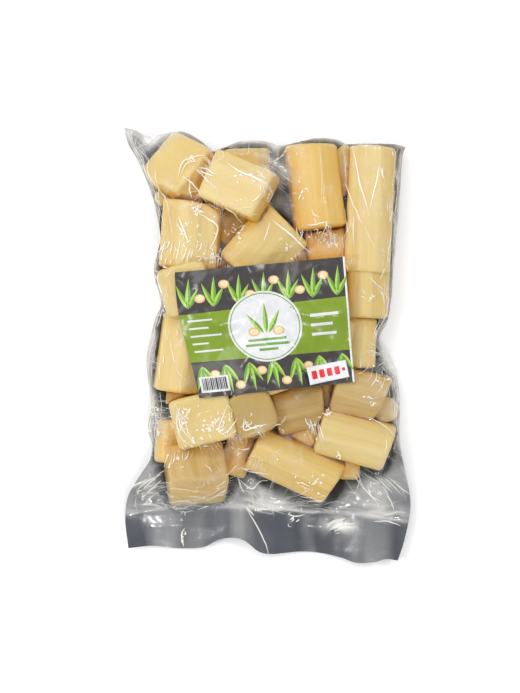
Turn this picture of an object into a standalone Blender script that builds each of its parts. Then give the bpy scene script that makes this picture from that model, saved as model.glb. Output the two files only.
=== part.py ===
"""Peeled sugarcane lengths in a sealed pouch of clear film over dark film, with a draped label.

The pouch lies on its back with its label up. X runs across it, Y along it towards its top seal and Z up.
The origin is under the middle of the pouch, on the surface it lies on.
"""

import math
from collections import namedtuple

import bpy
import numpy as np
from mathutils import Matrix, Vector
from mathutils.bvhtree import BVHTree

MM = 0.001

# Film and paper, thicker than the real 0.1 mm so that each is a sound solid
FILM = 0.4
PAPER = 0.35
GAP = 0.2

# Knife-peeled cane
FLATS = 9
FLAT_TURN = 7.0
FLAT_DEPTH = 0.06
EDGE_ROUND = 1.3
CANE_SEED = 41

# How the pieces are laid: the height map's step, how far a piece slides or leans to lie lower, what each
# millimetre and degree of it costs in height, and how far inside the pouch's edge a piece stays
STEP = 1.0
SLIDE = 7
SLIDE_COST = 0.5
LEANS = (0, -8, 8, -16, 16, -24, 24)
LEAN_COST = 0.15
EDGE_ROOM = 4
MAP_HALF_X = 110
MAP_HALF_Y = 160

# The films' grid, how far its lines crowd towards the rim, and the draw of the vacuum on each pass
ACROSS = 30
ALONG = 44
CROWDING = 0.6
PASSES = 500
DRAW_DOWN = 0.20
DRAW_UP = 0.30

# The welded margin: its height, and the waves of the wide one at the foot
MARGIN_HEIGHT = 11.0
FOOT_HEIGHT = 7.0
FOOT_WAVE = 4.5
FOOT_WAVE_LENGTH = 92.0
FOOT_FROM = -95.0
FOOT_TO = -120.0

# The label and the sticker on it, as corners in plan: foot left, foot right, head right and head left
LABEL_CORNERS = [(-44.0, -34.5), (59.0, -24.0), (51.6, 58.5), (-60.0, 48.0)]
LABEL_GRID = (20, 14)
STICKER_CORNERS = [(29.2, -26.0), (55.4, -20.6), (53.0, -9.4), (26.6, -14.4)]
STICKER_GRID = (7, 4)
PAPER_PASSES = 160
PAPER_DRAW = 0.05
PAPER_ROOM = 12

# The pouch's four edges in plan, from corner to corner
LEFT_EDGE = [(-91, -134), (-93, -114), (-91, -99), (-84, -87), (-77, -76), (-75, -66), (-78, -55), (-76, -38),
             (-79, -12), (-76, 6), (-73, 18), (-69, 28), (-73, 42), (-74, 52), (-70, 70), (-72, 86),
             (-76, 101), (-84, 121), (-91, 133), (-94, 144)]
RIGHT_EDGE = [(87, -142), (91, -130), (95, -112), (95, -99), (92, -84), (89, -70), (88, -56), (88, -30),
              (84, -16), (77, -3), (75, 6), (80, 16), (83, 34), (84, 52), (86, 70), (88, 94),
              (89, 112), (90, 124), (92, 131)]
FOOT_EDGE = [(-91, -134), (-76, -133), (-58, -135), (-42, -134), (-32, -129), (-23, -127), (-14, -129), (-5, -136),
             (4, -138), (22, -137), (36, -138), (50, -141), (60, -144), (72, -143), (79, -141), (87, -142)]
HEAD_EDGE = [(-94, 144), (-86, 142), (-78, 138), (-66, 140), (-54, 141), (-43, 135), (-35, 128), (-27, 131),
             (-16, 135), (-2, 135), (10, 132), (20, 134), (33, 137), (46, 136), (54, 133), (70, 133),
             (84, 133), (92, 131)]

# A cane piece: middle in plan, the way its grain points and rises, its turn about the grain, and its size
Cane = namedtuple("Cane", "name x y heading rise turn width depth length slant")
CANES = [
    Cane("cane_middle_under", -22, 80, 50, 0, 0, 14, 16, 22, 0),
    Cane("cane_right_under", 39, 64, 8, 0, 0, 21, 22, 20, 8),
    Cane("cane_low_under", -19, -72, 72, 0, 0, 14, 18, 22, 0),
    Cane("cane_left_under", -66, -63, 84, 0, 0, 11, 17, 23, 0),
    Cane("cane_top_middle", -14, 117, -88, 0, 10, 27, 22, 20, 4),
    Cane("cane_top_under", -32, 101, 140, 0, 0, 12, 16, 16, 0),
    Cane("cane_top_broad", 32, 105, 97, 0, 0, 33, 36, 52, 6),
    Cane("cane_top_long", 69, 88, 87, 0, 5, 26, 34, 78, 3),
    Cane("cane_left_stout", -49, 72, 86, 0, 8, 33, 36, 39, 6),
    Cane("cane_left_label", -53, 37, 10, 90, 0, 28, 28, 42, 4),
    Cane("cane_left_long", -61, -6, 82, 0, 12, 25, 34, 45, 9),
    Cane("cane_right_label", 65, 34, 88, 0, 0, 22, 33, 27, 6),
    Cane("cane_right_short", 61, 2, 88, 0, 0, 17, 24, 28, 5),
    Cane("cane_middle_slope", 1, 65, 49, 4, 0, 36, 33, 40, 5),
    Cane("cane_label_1", -25, 32, 15, 90, 0, 28, 28, 44, 5),
    Cane("cane_label_2", 6, 17, 84, 0, 20, 27, 34, 29, 6),
    Cane("cane_label_3", 35, 36, 35, 90, 0, 29, 28, 43, 7),
    Cane("cane_label_4", -27, -2, 8, 0, 0, 28, 34, 29, 5),
    Cane("cane_label_5", 4, -15, 60, 90, 0, 26, 27, 42, 5),
    Cane("cane_label_6", 36, 2, 80, 0, 0, 28, 33, 31, 4),
    Cane("cane_low_middle", -9, -43, 30, 90, 0, 25, 24, 44, 8),
    Cane("cane_low_short", 21, -40, 14, 0, 0, 25, 33, 28, 12),
    Cane("cane_low_round", 61, -28, -13, 0, 0, 27, 35, 30, 14),
    Cane("cane_foot_right", 60, -60, -15, 0, 4, 27, 34, 44, 6),
    Cane("cane_foot_long", 19, -78, -25, 0, 6, 26, 34, 55, 10),
    Cane("cane_foot_left", -46, -84, 282, 32, 0, 34, 33, 25, 4),
    Cane("cane_low_stout", -41, -47, 280, 90, 0, 35, 28, 45, 6),
    Cane("cane_top_left", -57, 115, 135, 46, 0, 34, 32, 24, 5),
    Cane("cane_top_block", -16, 101, -24, 4, 0, 32, 26, 40, 4),
]

rng = np.random.default_rng(CANE_SEED)


# Scene and materials


def clear_scene():
    for obj in list(bpy.data.objects):
        bpy.data.objects.remove(obj)


def make_collection():
    collection = bpy.data.collections.new("cane_pouch")
    bpy.context.scene.collection.children.link(collection)
    return collection


def make_material(name, colour, roughness, alpha=1.0):
    material = bpy.data.materials.new(name)
    material.use_nodes = True
    shader = material.node_tree.nodes["Principled BSDF"]
    shader.inputs["Base Color"].default_value = (*colour, 1.0)
    shader.inputs["Roughness"].default_value = roughness
    shader.inputs["Metallic"].default_value = 0.0
    shader.inputs["Alpha"].default_value = alpha
    return material


def keep(obj, name, collection, material):
    """Names the object, puts it in the collection and gives it its material."""
    obj.name = name
    obj.data.name = name
    for old in list(obj.users_collection):
        old.objects.unlink(obj)
    collection.objects.link(obj)
    obj.data.materials.clear()
    obj.data.materials.append(material)


# Cane pieces


def knife_flats(cane):
    """The corners of a peeled piece's cross-section: where each knife stroke's flat meets the next."""
    angles = [math.radians(360 / FLATS * i + rng.uniform(-FLAT_TURN, FLAT_TURN)) for i in range(FLATS)]
    reaches = [1 - rng.uniform(0, FLAT_DEPTH) for _ in range(FLATS)]
    corners = []
    for i in range(FLATS):
        j = (i + 1) % FLATS
        normals = np.array([[math.cos(angles[k]), math.sin(angles[k])] for k in (i, j)])
        corner = np.linalg.solve(normals, [reaches[i], reaches[j]])
        corners.append((corner[0] * cane.width / 2, corner[1] * cane.depth / 2))
    return corners


def grain_frame(cane, lean):
    """The turn that lays a piece's own Z along its grain, with its width level."""
    heading, rise = math.radians(cane.heading), math.radians(cane.rise + lean)
    grain = Vector((math.cos(heading) * math.cos(rise), math.sin(heading) * math.cos(rise), math.sin(rise)))
    across = Vector((-math.sin(heading), math.cos(heading), 0))
    up = grain.cross(across)
    frame = Matrix((across, up, grain)).transposed()
    return frame @ Matrix.Rotation(math.radians(cane.turn), 3, "Z")


def cane_corners(cane):
    """The foot and head rings of a piece in its own frame, in millimetres. The head is cut on a slant."""
    ring = knife_flats(cane)
    slope = math.tan(math.radians(cane.slant))
    foot = [Vector((x, y, -cane.length / 2)) for x, y in ring]
    head = [Vector((x, y, cane.length / 2 + slope * x)) for x, y in ring]
    return foot, head


def cane_planes(foot, head, frame):
    """Each face of the piece as its outward normal and distance, turned as the piece is laid."""
    corners = [(foot[i], foot[(i + 1) % FLATS], head[i]) for i in range(FLATS)]
    corners += [(head[0], head[2], head[4]), (foot[0], foot[2], foot[4])]
    planes = []
    for a, b, c in corners:
        normal = (b - a).cross(c - a).normalized()
        if normal.dot(a) < 0:
            normal = -normal
        planes.append([*(frame @ normal), normal.dot(a)])
    return np.array(planes)


def heights(planes, xs, ys):
    """The underside and top of a convex piece over each point, with nan where it doesn't reach."""
    low = np.full(xs.shape, -np.inf)
    high = np.full(xs.shape, np.inf)
    inside = np.ones(xs.shape, bool)
    for nx, ny, nz, distance in planes:
        level = distance - nx * xs - ny * ys
        if abs(nz) < 1e-6:
            inside &= level >= 0
        elif nz > 0:
            high = np.minimum(high, level / nz)
        else:
            low = np.maximum(low, level / nz)
    inside &= low < high
    return np.where(inside, low, np.nan), np.where(inside, high, np.nan)


class HeightMap:
    """What lies on the surface so far: the top and underside over each step of the plan, in millimetres."""

    def __init__(self):
        self.x = np.arange(-MAP_HALF_X, MAP_HALF_X + STEP / 2, STEP)
        self.y = np.arange(-MAP_HALF_Y, MAP_HALF_Y + STEP / 2, STEP)
        self.top = np.full((len(self.x), len(self.y)), -np.inf)
        self.under = np.full((len(self.x), len(self.y)), np.inf)

    def settle(self, cane, foot, head, room):
        """Slides and leans a piece a little and lowers it onto those before it. Returns its turn and middle."""
        reach = np.arange(-60, 61) * STEP
        xs, ys = np.meshgrid(reach, reach, indexing="ij")
        wide = widened(self.top)
        best = None
        for lean in LEANS:
            frame = grain_frame(cane, lean)
            low, high = heights(cane_planes(foot, head, frame), xs, ys)
            i, j = (~np.isnan(low)).nonzero()
            low, high = low[i, j], high[i, j]
            for dx, dy in np.ndindex(2 * SLIDE + 1, 2 * SLIDE + 1):
                x, y = round(cane.x + dx - SLIDE), round(cane.y + dy - SLIDE)
                ix, iy = i - 60 + x + MAP_HALF_X, j - 60 + y + MAP_HALF_Y
                if not room[ix, iy].all():
                    continue
                z = (np.maximum(wide[ix, iy], FILM) + GAP - low).max()
                cost = z + SLIDE_COST * math.hypot(dx - SLIDE, dy - SLIDE) + LEAN_COST * abs(lean)
                if best is None or cost < best[0]:
                    best = (cost, frame, (x, y, z), ix, iy, low + z, high + z)
        _, frame, middle, ix, iy, low, high = best
        self.top[ix, iy] = np.maximum(self.top[ix, iy], high)
        self.under[ix, iy] = np.minimum(self.under[ix, iy], low)
        return frame, middle


def widened(levels, sign=1):
    """Each step's highest level among itself and its eight neighbours, or the lowest where sign is -1."""
    padded = np.pad(levels * sign, 1, constant_values=-np.inf)
    shape = levels.shape
    spread = [padded[a : a + shape[0], b : b + shape[1]] for a in range(3) for b in range(3)]
    return np.max(spread, axis=0) * sign


def make_cane(cane, ground, room, collection, material):
    """One peeled length: a many-sided prism with knife flats, laid on what is under it."""
    foot, head = cane_corners(cane)
    frame, middle = ground.settle(cane, foot, head, room)
    bpy.ops.mesh.primitive_cylinder_add(vertices=FLATS, radius=1, depth=2)
    obj = bpy.context.object
    turns = [math.atan2(v.co.y, v.co.x) % math.tau for v in obj.data.vertices]
    order = {turn: k for k, turn in enumerate(sorted({round(t, 4) % round(math.tau, 4) for t in turns}))}
    for vertex, turn in zip(obj.data.vertices, turns):
        ring = head if vertex.co.z > 0 else foot
        vertex.co = ring[order[round(turn, 4) % round(math.tau, 4)]] * MM
    obj.matrix_world = Matrix.Translation(Vector(middle) * MM) @ frame.to_4x4()
    bevel = obj.modifiers.new("knife_edges", "BEVEL")
    bevel.width = EDGE_ROUND * MM
    bevel.segments = 1
    bevel.limit_method = "NONE"
    keep(obj, cane.name, collection, material)
    return obj


# Films


def through(points, shares):
    """Points at these shares of the length of a smooth curve through the given ones."""
    points = np.array(points, float)
    ends = np.vstack([2 * points[0] - points[1], points, 2 * points[-1] - points[-2]])
    lengths = np.concatenate([[0], np.cumsum(np.linalg.norm(np.diff(points, axis=0), axis=1))])
    at = np.clip(shares, 0, 1) * lengths[-1]
    k = np.clip(np.searchsorted(lengths, at, "right") - 1, 0, len(points) - 2)
    t = ((at - lengths[k]) / (lengths[k + 1] - lengths[k]))[:, None]
    a, b, c, d = ends[k], ends[k + 1], ends[k + 2], ends[k + 3]
    return 0.5 * (2 * b + (c - a) * t + (2 * a - 5 * b + 4 * c - d) * t**2 + (3 * b - a - 3 * c + d) * t**3)


def crowded(shares):
    """Shares from 0 to 1, moved towards both ends."""
    return shares + CROWDING * ((1 - np.cos(np.pi * shares)) / 2 - shares)


def pouch_plan():
    """The films' grid in plan: each node blended from the four edges."""
    u, v = crowded(np.linspace(0, 1, ACROSS + 1)), crowded(np.linspace(0, 1, ALONG + 1))
    left, right = through(LEFT_EDGE, v)[None], through(RIGHT_EDGE, v)[None]
    foot, head = through(FOOT_EDGE, u)[:, None], through(HEAD_EDGE, u)[:, None]
    s, t = u[:, None, None], v[None, :, None]
    sides = (1 - s) * left + s * right
    ends = (1 - t) * foot + t * head
    corners = (1 - s) * ((1 - t) * left[:, :1] + t * left[:, -1:]) + s * ((1 - t) * right[:, :1] + t * right[:, -1:])
    return sides + ends - corners


def pouch_room(plan, ground):
    """Where in the height map a piece may lie: inside the pouch's outline, and clear of its edge."""
    outline = np.concatenate([plan[:, 0], plan[-1, 1:], plan[-2::-1, -1], plan[0, -2:0:-1]])
    xs, ys = np.meshgrid(ground.x, ground.y, indexing="ij")
    inside = np.zeros(xs.shape, bool)
    for (x0, y0), (x1, y1) in zip(outline, np.roll(outline, -1, axis=0)):
        spans = (y0 > ys) != (y1 > ys)
        inside ^= spans & (xs < x0 + (ys - y0) * (x1 - x0) / (y1 - y0 if y1 != y0 else 1))
    outside = (~inside).astype(float)
    for _ in range(EDGE_ROOM):
        outside = widened(outside)
    return outside == 0


def margin_height(plan):
    """How high the welded margin runs: level round the content and waved along the wide foot."""
    x, y = plan[..., 0], plan[..., 1]
    foot = np.clip((FOOT_FROM - y) / (FOOT_FROM - FOOT_TO), 0, 1)
    wave = FOOT_WAVE * np.cos(math.tau * (x + 12) / FOOT_WAVE_LENGTH)
    return MARGIN_HEIGHT + foot * (FOOT_HEIGHT - MARGIN_HEIGHT + wave)


def spacing(plan):
    """How far each node's window reaches: to its furthest neighbour in X and in Y, and one step more."""
    reach = []
    for axis in (0, 1):
        steps_u = np.abs(np.diff(plan[..., axis], axis=0))
        steps_v = np.abs(np.diff(plan[..., axis], axis=1))
        most = np.zeros(plan.shape[:2])
        most[1:] = np.maximum(most[1:], steps_u)
        most[:-1] = np.maximum(most[:-1], steps_u)
        most[:, 1:] = np.maximum(most[:, 1:], steps_v)
        most[:, :-1] = np.maximum(most[:, :-1], steps_v)
        reach.append(most)
    return reach


def highest_near(levels, ground, plan):
    """The highest level within one cell of each node, so that flat facets between nodes clear it."""
    reach_x, reach_y = spacing(plan)
    found = np.full(plan.shape[:2], -np.inf)
    for index in np.ndindex(found.shape):
        x, y = plan[index]
        i0, i1 = (int(math.floor(x + s * (reach_x[index] + 1))) + MAP_HALF_X for s in (-1, 1))
        j0, j1 = (int(math.floor(y + s * (reach_y[index] + 1))) + MAP_HALF_Y for s in (-1, 1))
        window = levels[max(i0, 0) : i1 + 2, max(j0, 0) : j1 + 2]
        found[index] = window.max() if window.size else -np.inf
    return found


def relax(start, low, high, draw, passes, free_rim=False):
    """A stretched sheet drawn one way by the vacuum, held between two limits. Its rim stays put unless free."""
    z = np.clip(start, low, high)
    for _ in range(passes):
        if free_rim:
            wide = np.pad(z, 1, mode="edge")
            mean = (wide[:-2, 1:-1] + wide[2:, 1:-1] + wide[1:-1, :-2] + wide[1:-1, 2:]) / 4
            z = np.clip(mean + draw, low, high)
        else:
            mean = (z[:-2, 1:-1] + z[2:, 1:-1] + z[1:-1, :-2] + z[1:-1, 2:]) / 4
            z[1:-1, 1:-1] = np.clip(mean + draw, low[1:-1, 1:-1], high[1:-1, 1:-1])
    return z


def film_heights(plan, ground):
    """The inner faces of the back and front films at each node."""
    margin = margin_height(plan)
    nothing = np.full(plan.shape[:2], np.inf)
    ceiling = -highest_near(-ground.under, ground, plan) - GAP
    back_limit = np.maximum(np.minimum(ceiling, margin), FILM)
    back = relax(back_limit, np.full_like(margin, FILM), back_limit, DRAW_UP, PASSES)
    floor = np.maximum(highest_near(ground.top, ground, plan), back) + GAP
    front = np.where(np.isinf(floor), margin + GAP, floor)
    rim = np.ones(plan.shape[:2], bool)
    rim[1:-1, 1:-1] = False
    front[rim] = back[rim] + GAP
    front = relax(front, np.where(rim, front, floor), nothing, -DRAW_DOWN, PASSES)
    return back, front


def make_sheet(name, plan, level, thickness, side, collection, material):
    """A grid moved to the plan and level given, thickened up (side 1) or down (side -1)."""
    cells = (plan.shape[0] - 1, plan.shape[1] - 1)
    bpy.ops.mesh.primitive_grid_add(x_subdivisions=cells[0], y_subdivisions=cells[1], size=2)
    obj = bpy.context.object
    for vertex in obj.data.vertices:
        i = round((vertex.co.x + 1) / 2 * cells[0])
        j = round((vertex.co.y + 1) / 2 * cells[1])
        vertex.co = Vector((plan[i, j, 0], plan[i, j, 1], level[i, j])) * MM
    split = obj.modifiers.new("alike_on_both_faces", "TRIANGULATE")
    split.quad_method = "FIXED"
    thicken = obj.modifiers.new("thickness", "SOLIDIFY")
    thicken.thickness = thickness * MM
    thicken.offset = side
    keep(obj, name, collection, material)
    return obj


# Paper on the front film


def outer_tree(obj):
    """A tree of an object's evaluated faces, for finding its top over a point."""
    bpy.context.view_layer.update()
    return BVHTree.FromObject(obj, bpy.context.evaluated_depsgraph_get())


def top_over(tree, x, y):
    hit = tree.ray_cast(Vector((x * MM, y * MM, 1)), Vector((0, 0, -1)))[0]
    return -np.inf if hit is None else hit.z / MM


def paper_plan(corners, cells):
    """A four-cornered sheet's grid in plan."""
    a, b, c, d = np.array(corners)
    s, t = (np.linspace(0, 1, n + 1) for n in cells)
    s, t = s[:, None, None], t[None, :, None]
    return (1 - t) * ((1 - s) * a + s * b) + t * ((1 - s) * d + s * c)


def make_paper(name, carrier, corners, cells, collection, material):
    """A sheet of paper that clings to the carrier and bridges its hollows."""
    tree = outer_tree(carrier)
    ground = HeightMap()
    plan = paper_plan(corners, cells)
    low, high = plan.min(axis=(0, 1)) - PAPER_ROOM, plan.max(axis=(0, 1)) + PAPER_ROOM
    for i in np.flatnonzero((ground.x > low[0]) & (ground.x < high[0])):
        for j in np.flatnonzero((ground.y > low[1]) & (ground.y < high[1])):
            ground.top[i, j] = top_over(tree, ground.x[i], ground.y[j])
    floor = highest_near(ground.top, ground, plan) + GAP
    level = relax(floor, floor, np.full_like(floor, np.inf), -PAPER_DRAW, PAPER_PASSES, free_rim=True)
    return make_sheet(name, plan, level, PAPER, 1, collection, material)


# The whole pouch


def centre_on_origin(objects):
    """Moves everything so that the origin lies under the middle of the box round it."""
    bpy.context.view_layer.update()
    graph = bpy.context.evaluated_depsgraph_get()
    corners = []
    for obj in objects:
        seen = obj.evaluated_get(graph)
        corners += [seen.matrix_world @ vertex.co for vertex in seen.data.vertices]
    low = Vector(map(min, zip(*corners)))
    high = Vector(map(max, zip(*corners)))
    shift = Vector(((low.x + high.x) / 2, (low.y + high.y) / 2, low.z))
    for obj in objects:
        obj.location -= shift


def main():
    clear_scene()
    collection = make_collection()
    cane = make_material("cane", (0.86, 0.66, 0.33), 0.45)
    clear_film = make_material("clear_film", (0.93, 0.94, 0.95), 0.08, alpha=0.25)
    dark_film = make_material("dark_film", (0.05, 0.055, 0.065), 0.2)
    label_paper = make_material("label_paper", (0.24, 0.45, 0.05), 0.35)
    sticker_paper = make_material("sticker_paper", (0.93, 0.93, 0.92), 0.4)

    ground = HeightMap()
    plan = pouch_plan()
    room = pouch_room(plan, ground)
    objects = [make_cane(piece, ground, room, collection, cane) for piece in CANES]
    back, front = film_heights(plan, ground)
    objects.append(make_sheet("film_back", plan, back, FILM, -1, collection, dark_film))
    front_film = make_sheet("film_front", plan, front, FILM, 1, collection, clear_film)
    label = make_paper("label", front_film, LABEL_CORNERS, LABEL_GRID, collection, label_paper)
    sticker = make_paper("price_sticker", label, STICKER_CORNERS, STICKER_GRID, collection, sticker_paper)
    objects += [front_film, label, sticker]
    centre_on_origin(objects)


main()
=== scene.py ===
"""Dresses the sealed pouch of peeled sugarcane: fibrous cane, wrinkled film over dark film, a printed label.

Lengths are millimetres in the frame's plan, with X across the pouch and Y towards its top, until a mesh is
made of them. Lights, the camera and the scales and depths in materials are in metres.
"""

import math

import bmesh
import bpy
import numpy as np
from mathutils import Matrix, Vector
from mathutils.bvhtree import BVHTree
from mathutils.kdtree import KDTree


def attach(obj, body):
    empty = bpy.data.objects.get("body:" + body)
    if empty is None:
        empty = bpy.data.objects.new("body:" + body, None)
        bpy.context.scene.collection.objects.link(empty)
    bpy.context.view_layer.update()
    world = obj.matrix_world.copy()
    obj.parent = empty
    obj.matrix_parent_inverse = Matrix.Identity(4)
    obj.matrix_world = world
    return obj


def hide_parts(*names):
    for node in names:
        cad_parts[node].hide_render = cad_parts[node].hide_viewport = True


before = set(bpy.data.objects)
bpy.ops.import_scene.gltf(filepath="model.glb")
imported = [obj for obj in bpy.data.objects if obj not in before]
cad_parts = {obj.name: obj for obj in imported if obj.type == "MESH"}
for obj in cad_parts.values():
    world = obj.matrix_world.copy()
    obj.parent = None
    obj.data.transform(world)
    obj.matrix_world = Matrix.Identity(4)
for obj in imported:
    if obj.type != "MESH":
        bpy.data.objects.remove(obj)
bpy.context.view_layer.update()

MM = 0.001

# The pouch's four edges in plan, from corner to corner, as the frame has them
LEFT_EDGE = [
    (-91, -134), (-93, -114), (-91, -99), (-84, -87), (-77, -76), (-75, -66), (-78, -55), (-76, -38),
    (-79, -12), (-76, 6), (-73, 18), (-69, 28), (-73, 42), (-74, 52), (-70, 70), (-72, 86), (-76, 101),
    (-84, 121), (-91, 133), (-94, 144),
]
RIGHT_EDGE = [
    (87, -142), (91, -130), (95, -112), (95, -99), (92, -84), (89, -70), (88, -56), (88, -30), (84, -16),
    (77, -3), (75, 6), (80, 16), (83, 34), (84, 52), (86, 70), (88, 94), (89, 112), (90, 124), (92, 131),
]
FOOT_EDGE = [
    (-91, -134), (-76, -133), (-58, -135), (-42, -134), (-32, -129), (-23, -127), (-14, -129), (-5, -136),
    (4, -138), (22, -137), (36, -138), (50, -141), (60, -144), (72, -143), (79, -141), (87, -142),
]
HEAD_EDGE = [
    (-94, 144), (-86, 142), (-78, 138), (-66, 140), (-54, 141), (-43, 135), (-35, 128), (-27, 131),
    (-16, 135), (-2, 135), (10, 132), (20, 134), (33, 137), (46, 136), (54, 133), (70, 133), (84, 133),
    (92, 131),
]
# The frame's shift that brings the pouch onto the origin
FRAME_SHIFT = np.array([-0.9, 0.0])

# Height map of what lies in the pouch
MAP_STEP = 0.8
MAP_HALF = (100.0, 150.0)

# Films: cells of their grid across and along the pouch, and about how long a cell is
ACROSS = 236
ALONG = 350
FILM_CELL = 0.8
LENGTH = 288
MARGIN_HEIGHT = 11.0
FOOT_HEIGHT = 7.0
FOOT_WAVE = 4.5
FOOT_WAVE_LENGTH = 92.0
FOOT_FROM = -95.0
FOOT_TO = -120.0
FILM_GAP = 0.3
FILM_DRAW = -0.05
LOWEST = 0.15
# The four edges of a film's grid
RIM_CELLS = ((0, slice(None)), (-1, slice(None)), (slice(None), 0), (slice(None), -1))
# Where the seam runs, and how much painted sheen, in pale bands, lies on the band below it: X with a share
SEAM_LINE = [(-95, -111), (-50, -106), (-10, -107), (30, -110), (60, -112), (98, -118)]
FOOT_TONES = [
    (-92, 0.02), (-83, 0.03), (-77, 0.24), (-67, 0.28), (-56, 0.12), (-44, 0.18), (-26, 0.12), (-17, 0.3),
    (-9, 0.07), (3, 0.01), (19, 0.02), (27, 0.17), (33, 0.02), (42, 0.08), (58, 0.24), (76, 0.18),
    (84, 0.03), (95, 0.1),
]
# A painted highlight: a white blotch on the foot band, its middle in plan
GLINT_BLOTCH = (48.0, -119.0)
# Spots where the rim isn't pale: X, Y, and reach across and along
DARK_RIM = [(-68, 76, 9, 18), (-69, -46, 8, 12), (-90, 128, 8, 18), (94, 128, 6, 8)]
# Milky spots, painted sheen on the film: X, Y, reach and amount
MILKY = [
    (84, -14, 11, 0.3), (80, -30, 10, 0.2), (5, 113, 13, 0.36), (-74, 133, 8, 0.3), (-68, -45, 7, 0.16),
    (60, 118, 9, 0.1), (84, -35, 10, 0.18), (75, -92, 16, 0.12), (-5, -103, 22, 0.14), (-75, -95, 12, 0.1),
    (-15, -92, 18, 0.1), (86, 60, 14, 0.14), (40, 62, 9, 0.1),
]

# Folds of the front film that stand up and catch the light, drawn as strips of painted highlight: a width,
# then the points of a line in plan
LONG_FOLDS = [
    (1.0, 55, 128, 59, 106, 65, 86), (1.0, 72, 117, 69, 102, 65, 87), (0.8, 50, 106, 55, 92, 61, 78),
    (0.7, 85, 122, 84, 96, 81, 57), (0.8, -1, 116, 8, 111, 17, 105), (0.7, 14, 129, 6, 121, -2, 118),
    (1.2, 2, 81, 14, 71, 27, 59), (0.8, 2, 80, -1, 72, -3, 67), (1.0, -26, 116, -17, 110, -9, 107, 1, 101),
    (0.9, 1, 101, 3, 97, 0, 91), (1.1, -45, 85, -36, 80, -32, 76, -34, 68, -37, 62),
    (1.2, -57, 82, -54, 74, -52, 66), (0.8, -58, 78, -54, 72, -53, 68), (0.9, -27, 88, -22, 84, -17, 78),
    (1.1, -57, 108, -55, 116, -50, 120, -40, 122), (0.7, -55, 110, -52, 117, -45, 119),
    (0.9, -45, 112, -40, 109, -34, 107), (0.8, -44, 114, -39, 113, -33, 109),
    (0.9, -54, 108, -48, 103, -42, 96), (0.7, -50, 108, -50, 101, -49, 95),
    (0.7, -77, 122, -77, 112, -71, 103, -66, 96, -63, 86), (0.8, -75, 132, -73, 136, -70, 138),
    (0.6, -91, 141, -83, 136, -77, 128), (0.6, -90, 137, -84, 129, -79, 119),
    (0.6, -3, 129, -2, 116, 1, 109), (0.9, 39, 80, 37, 74, 34, 69), (0.9, 39, 77, 41, 70, 42, 63),
    (1.0, 40, 76, 43, 69, 46, 62), (0.8, 35, 79, 30, 78, 25, 78), (0.6, 49, 129, 50, 116, 52, 99),
    (0.5, 33, 134, 34, 109, 34, 84), (0.9, -66, -81, -73, -87, -82, -95),
    (0.6, -66, -82, -76, -88, -84, -92), (0.9, -68, -88, -74, -93, -79, -98),
    (0.5, -72, -86, -76, -92, -80, -95), (1.1, -20, -85, -18, -91, -16, -97),
    (0.9, -19, -87, -14, -93, -10, -95, -5, -89, 0, -88), (0.7, -18, -79, -10, -83, 0, -84),
    (0.7, -27, -84, -23, -81, -20, -78), (1.1, -19, -67, -14, -67, -11, -66),
    (0.8, -17, -69, -19, -71, -20, -72), (0.8, -56, -38, -56, -50, -50, -60),
    (0.7, -58, -40, -58, -52, -54, -62), (0.6, -53, -36, -53, -46, -49, -55),
    (0.5, -60, -42, -60, -50, -58, -58), (0.8, -25, -38, -28, -46, -30, -54, -25, -58),
    (0.7, -20, -46, -25, -54, -31, -57), (1.0, -15, -46, -15, -53, -8, -52, 0, -50),
    (0.7, -14, -48, -12, -52, -6, -53), (0.6, 26, -48, 30, -58, 34, -68), (0.6, 30, -46, 33, -56, 37, -70),
    (0.5, 24, -50, 28, -60, 31, -67), (1.1, 35, -44, 38, -45, 41, -44), (1.0, 45, -68, 46, -71, 48, -73),
    (0.6, 80, -38, 84, -50, 83, -62), (0.7, 66, -46, 76, -52, 82, -59), (0.6, 58, -80, 70, -88, 82, -104),
    (0.6, 62, -78, 74, -86, 86, -98), (0.7, 54, -82, 62, -92, 76, -106), (0.6, 50, -86, 55, -94, 60, -102),
    (0.5, 70, -82, 80, -92, 90, -101), (0.7, 76, -92, 82, -103, 84, -109),
    (0.7, 66, -92, 69, -99, 76, -104), (0.7, 18, -87, 23, -88, 28, -90),
    (0.6, 87, -20, 87, -40, 86, -60, 88, -76), (0.7, -75, -34, -74, -44, -71, -54),
    (0.7, -72, -48, -74, -56, -72, -64), (0.8, -46, -108, -42, -106, -38, -105),
    (0.9, -14, -107, -8, -117, -2, -128, 1, -138), (1.0, -15, -106, -12, -110, -9, -113),
    (1.1, -55, -121, -57, -126, -56, -134), (0.9, -59, -107, -55, -110, -49, -109),
    (1.0, 13, -112, 18, -113, 24, -112), (1.8, 39, -121, 43, -117, 52, -114),
    (1.6, 41, -123, 48, -119, 58, -117), (1.2, 44, -124, 50, -121, 57, -121),
    (0.8, 70, -116, 80, -116, 88, -119),
]

# Rows of fine folds side by side, drawn as painted glints: a row's start and end, their heading in degrees,
# their length and count
COMBS = [
    ((-66, 68), (-47, 62), -97, 10, 15), ((-43, 67), (-30, 60), -75, 10, 8),
    ((-59, -37), (-51, -50), -78, 15, 9), ((-30, -44), (-22, -53), -120, 9, 6),
    ((24, -46), (33, -50), -70, 15, 7), ((50, 88), (62, 78), -82, 18, 5), ((18, 76), (50, 71), -84, 9, 14),
    ((-46, 113), (-36, 104), -35, 9, 6), ((58, -82), (84, -88), -50, 18, 10),
    ((-84, -90), (-68, -84), -130, 14, 7), ((-10, 108), (0, 101), -60, 8, 5),
    ((60, -8), (76, -20), -115, 13, 7), ((-64, 10), (-58, -20), -70, 12, 6),
    ((66, 44), (76, 34), -60, 12, 6), ((-64, -70), (-48, -66), -95, 10, 8),
]
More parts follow.
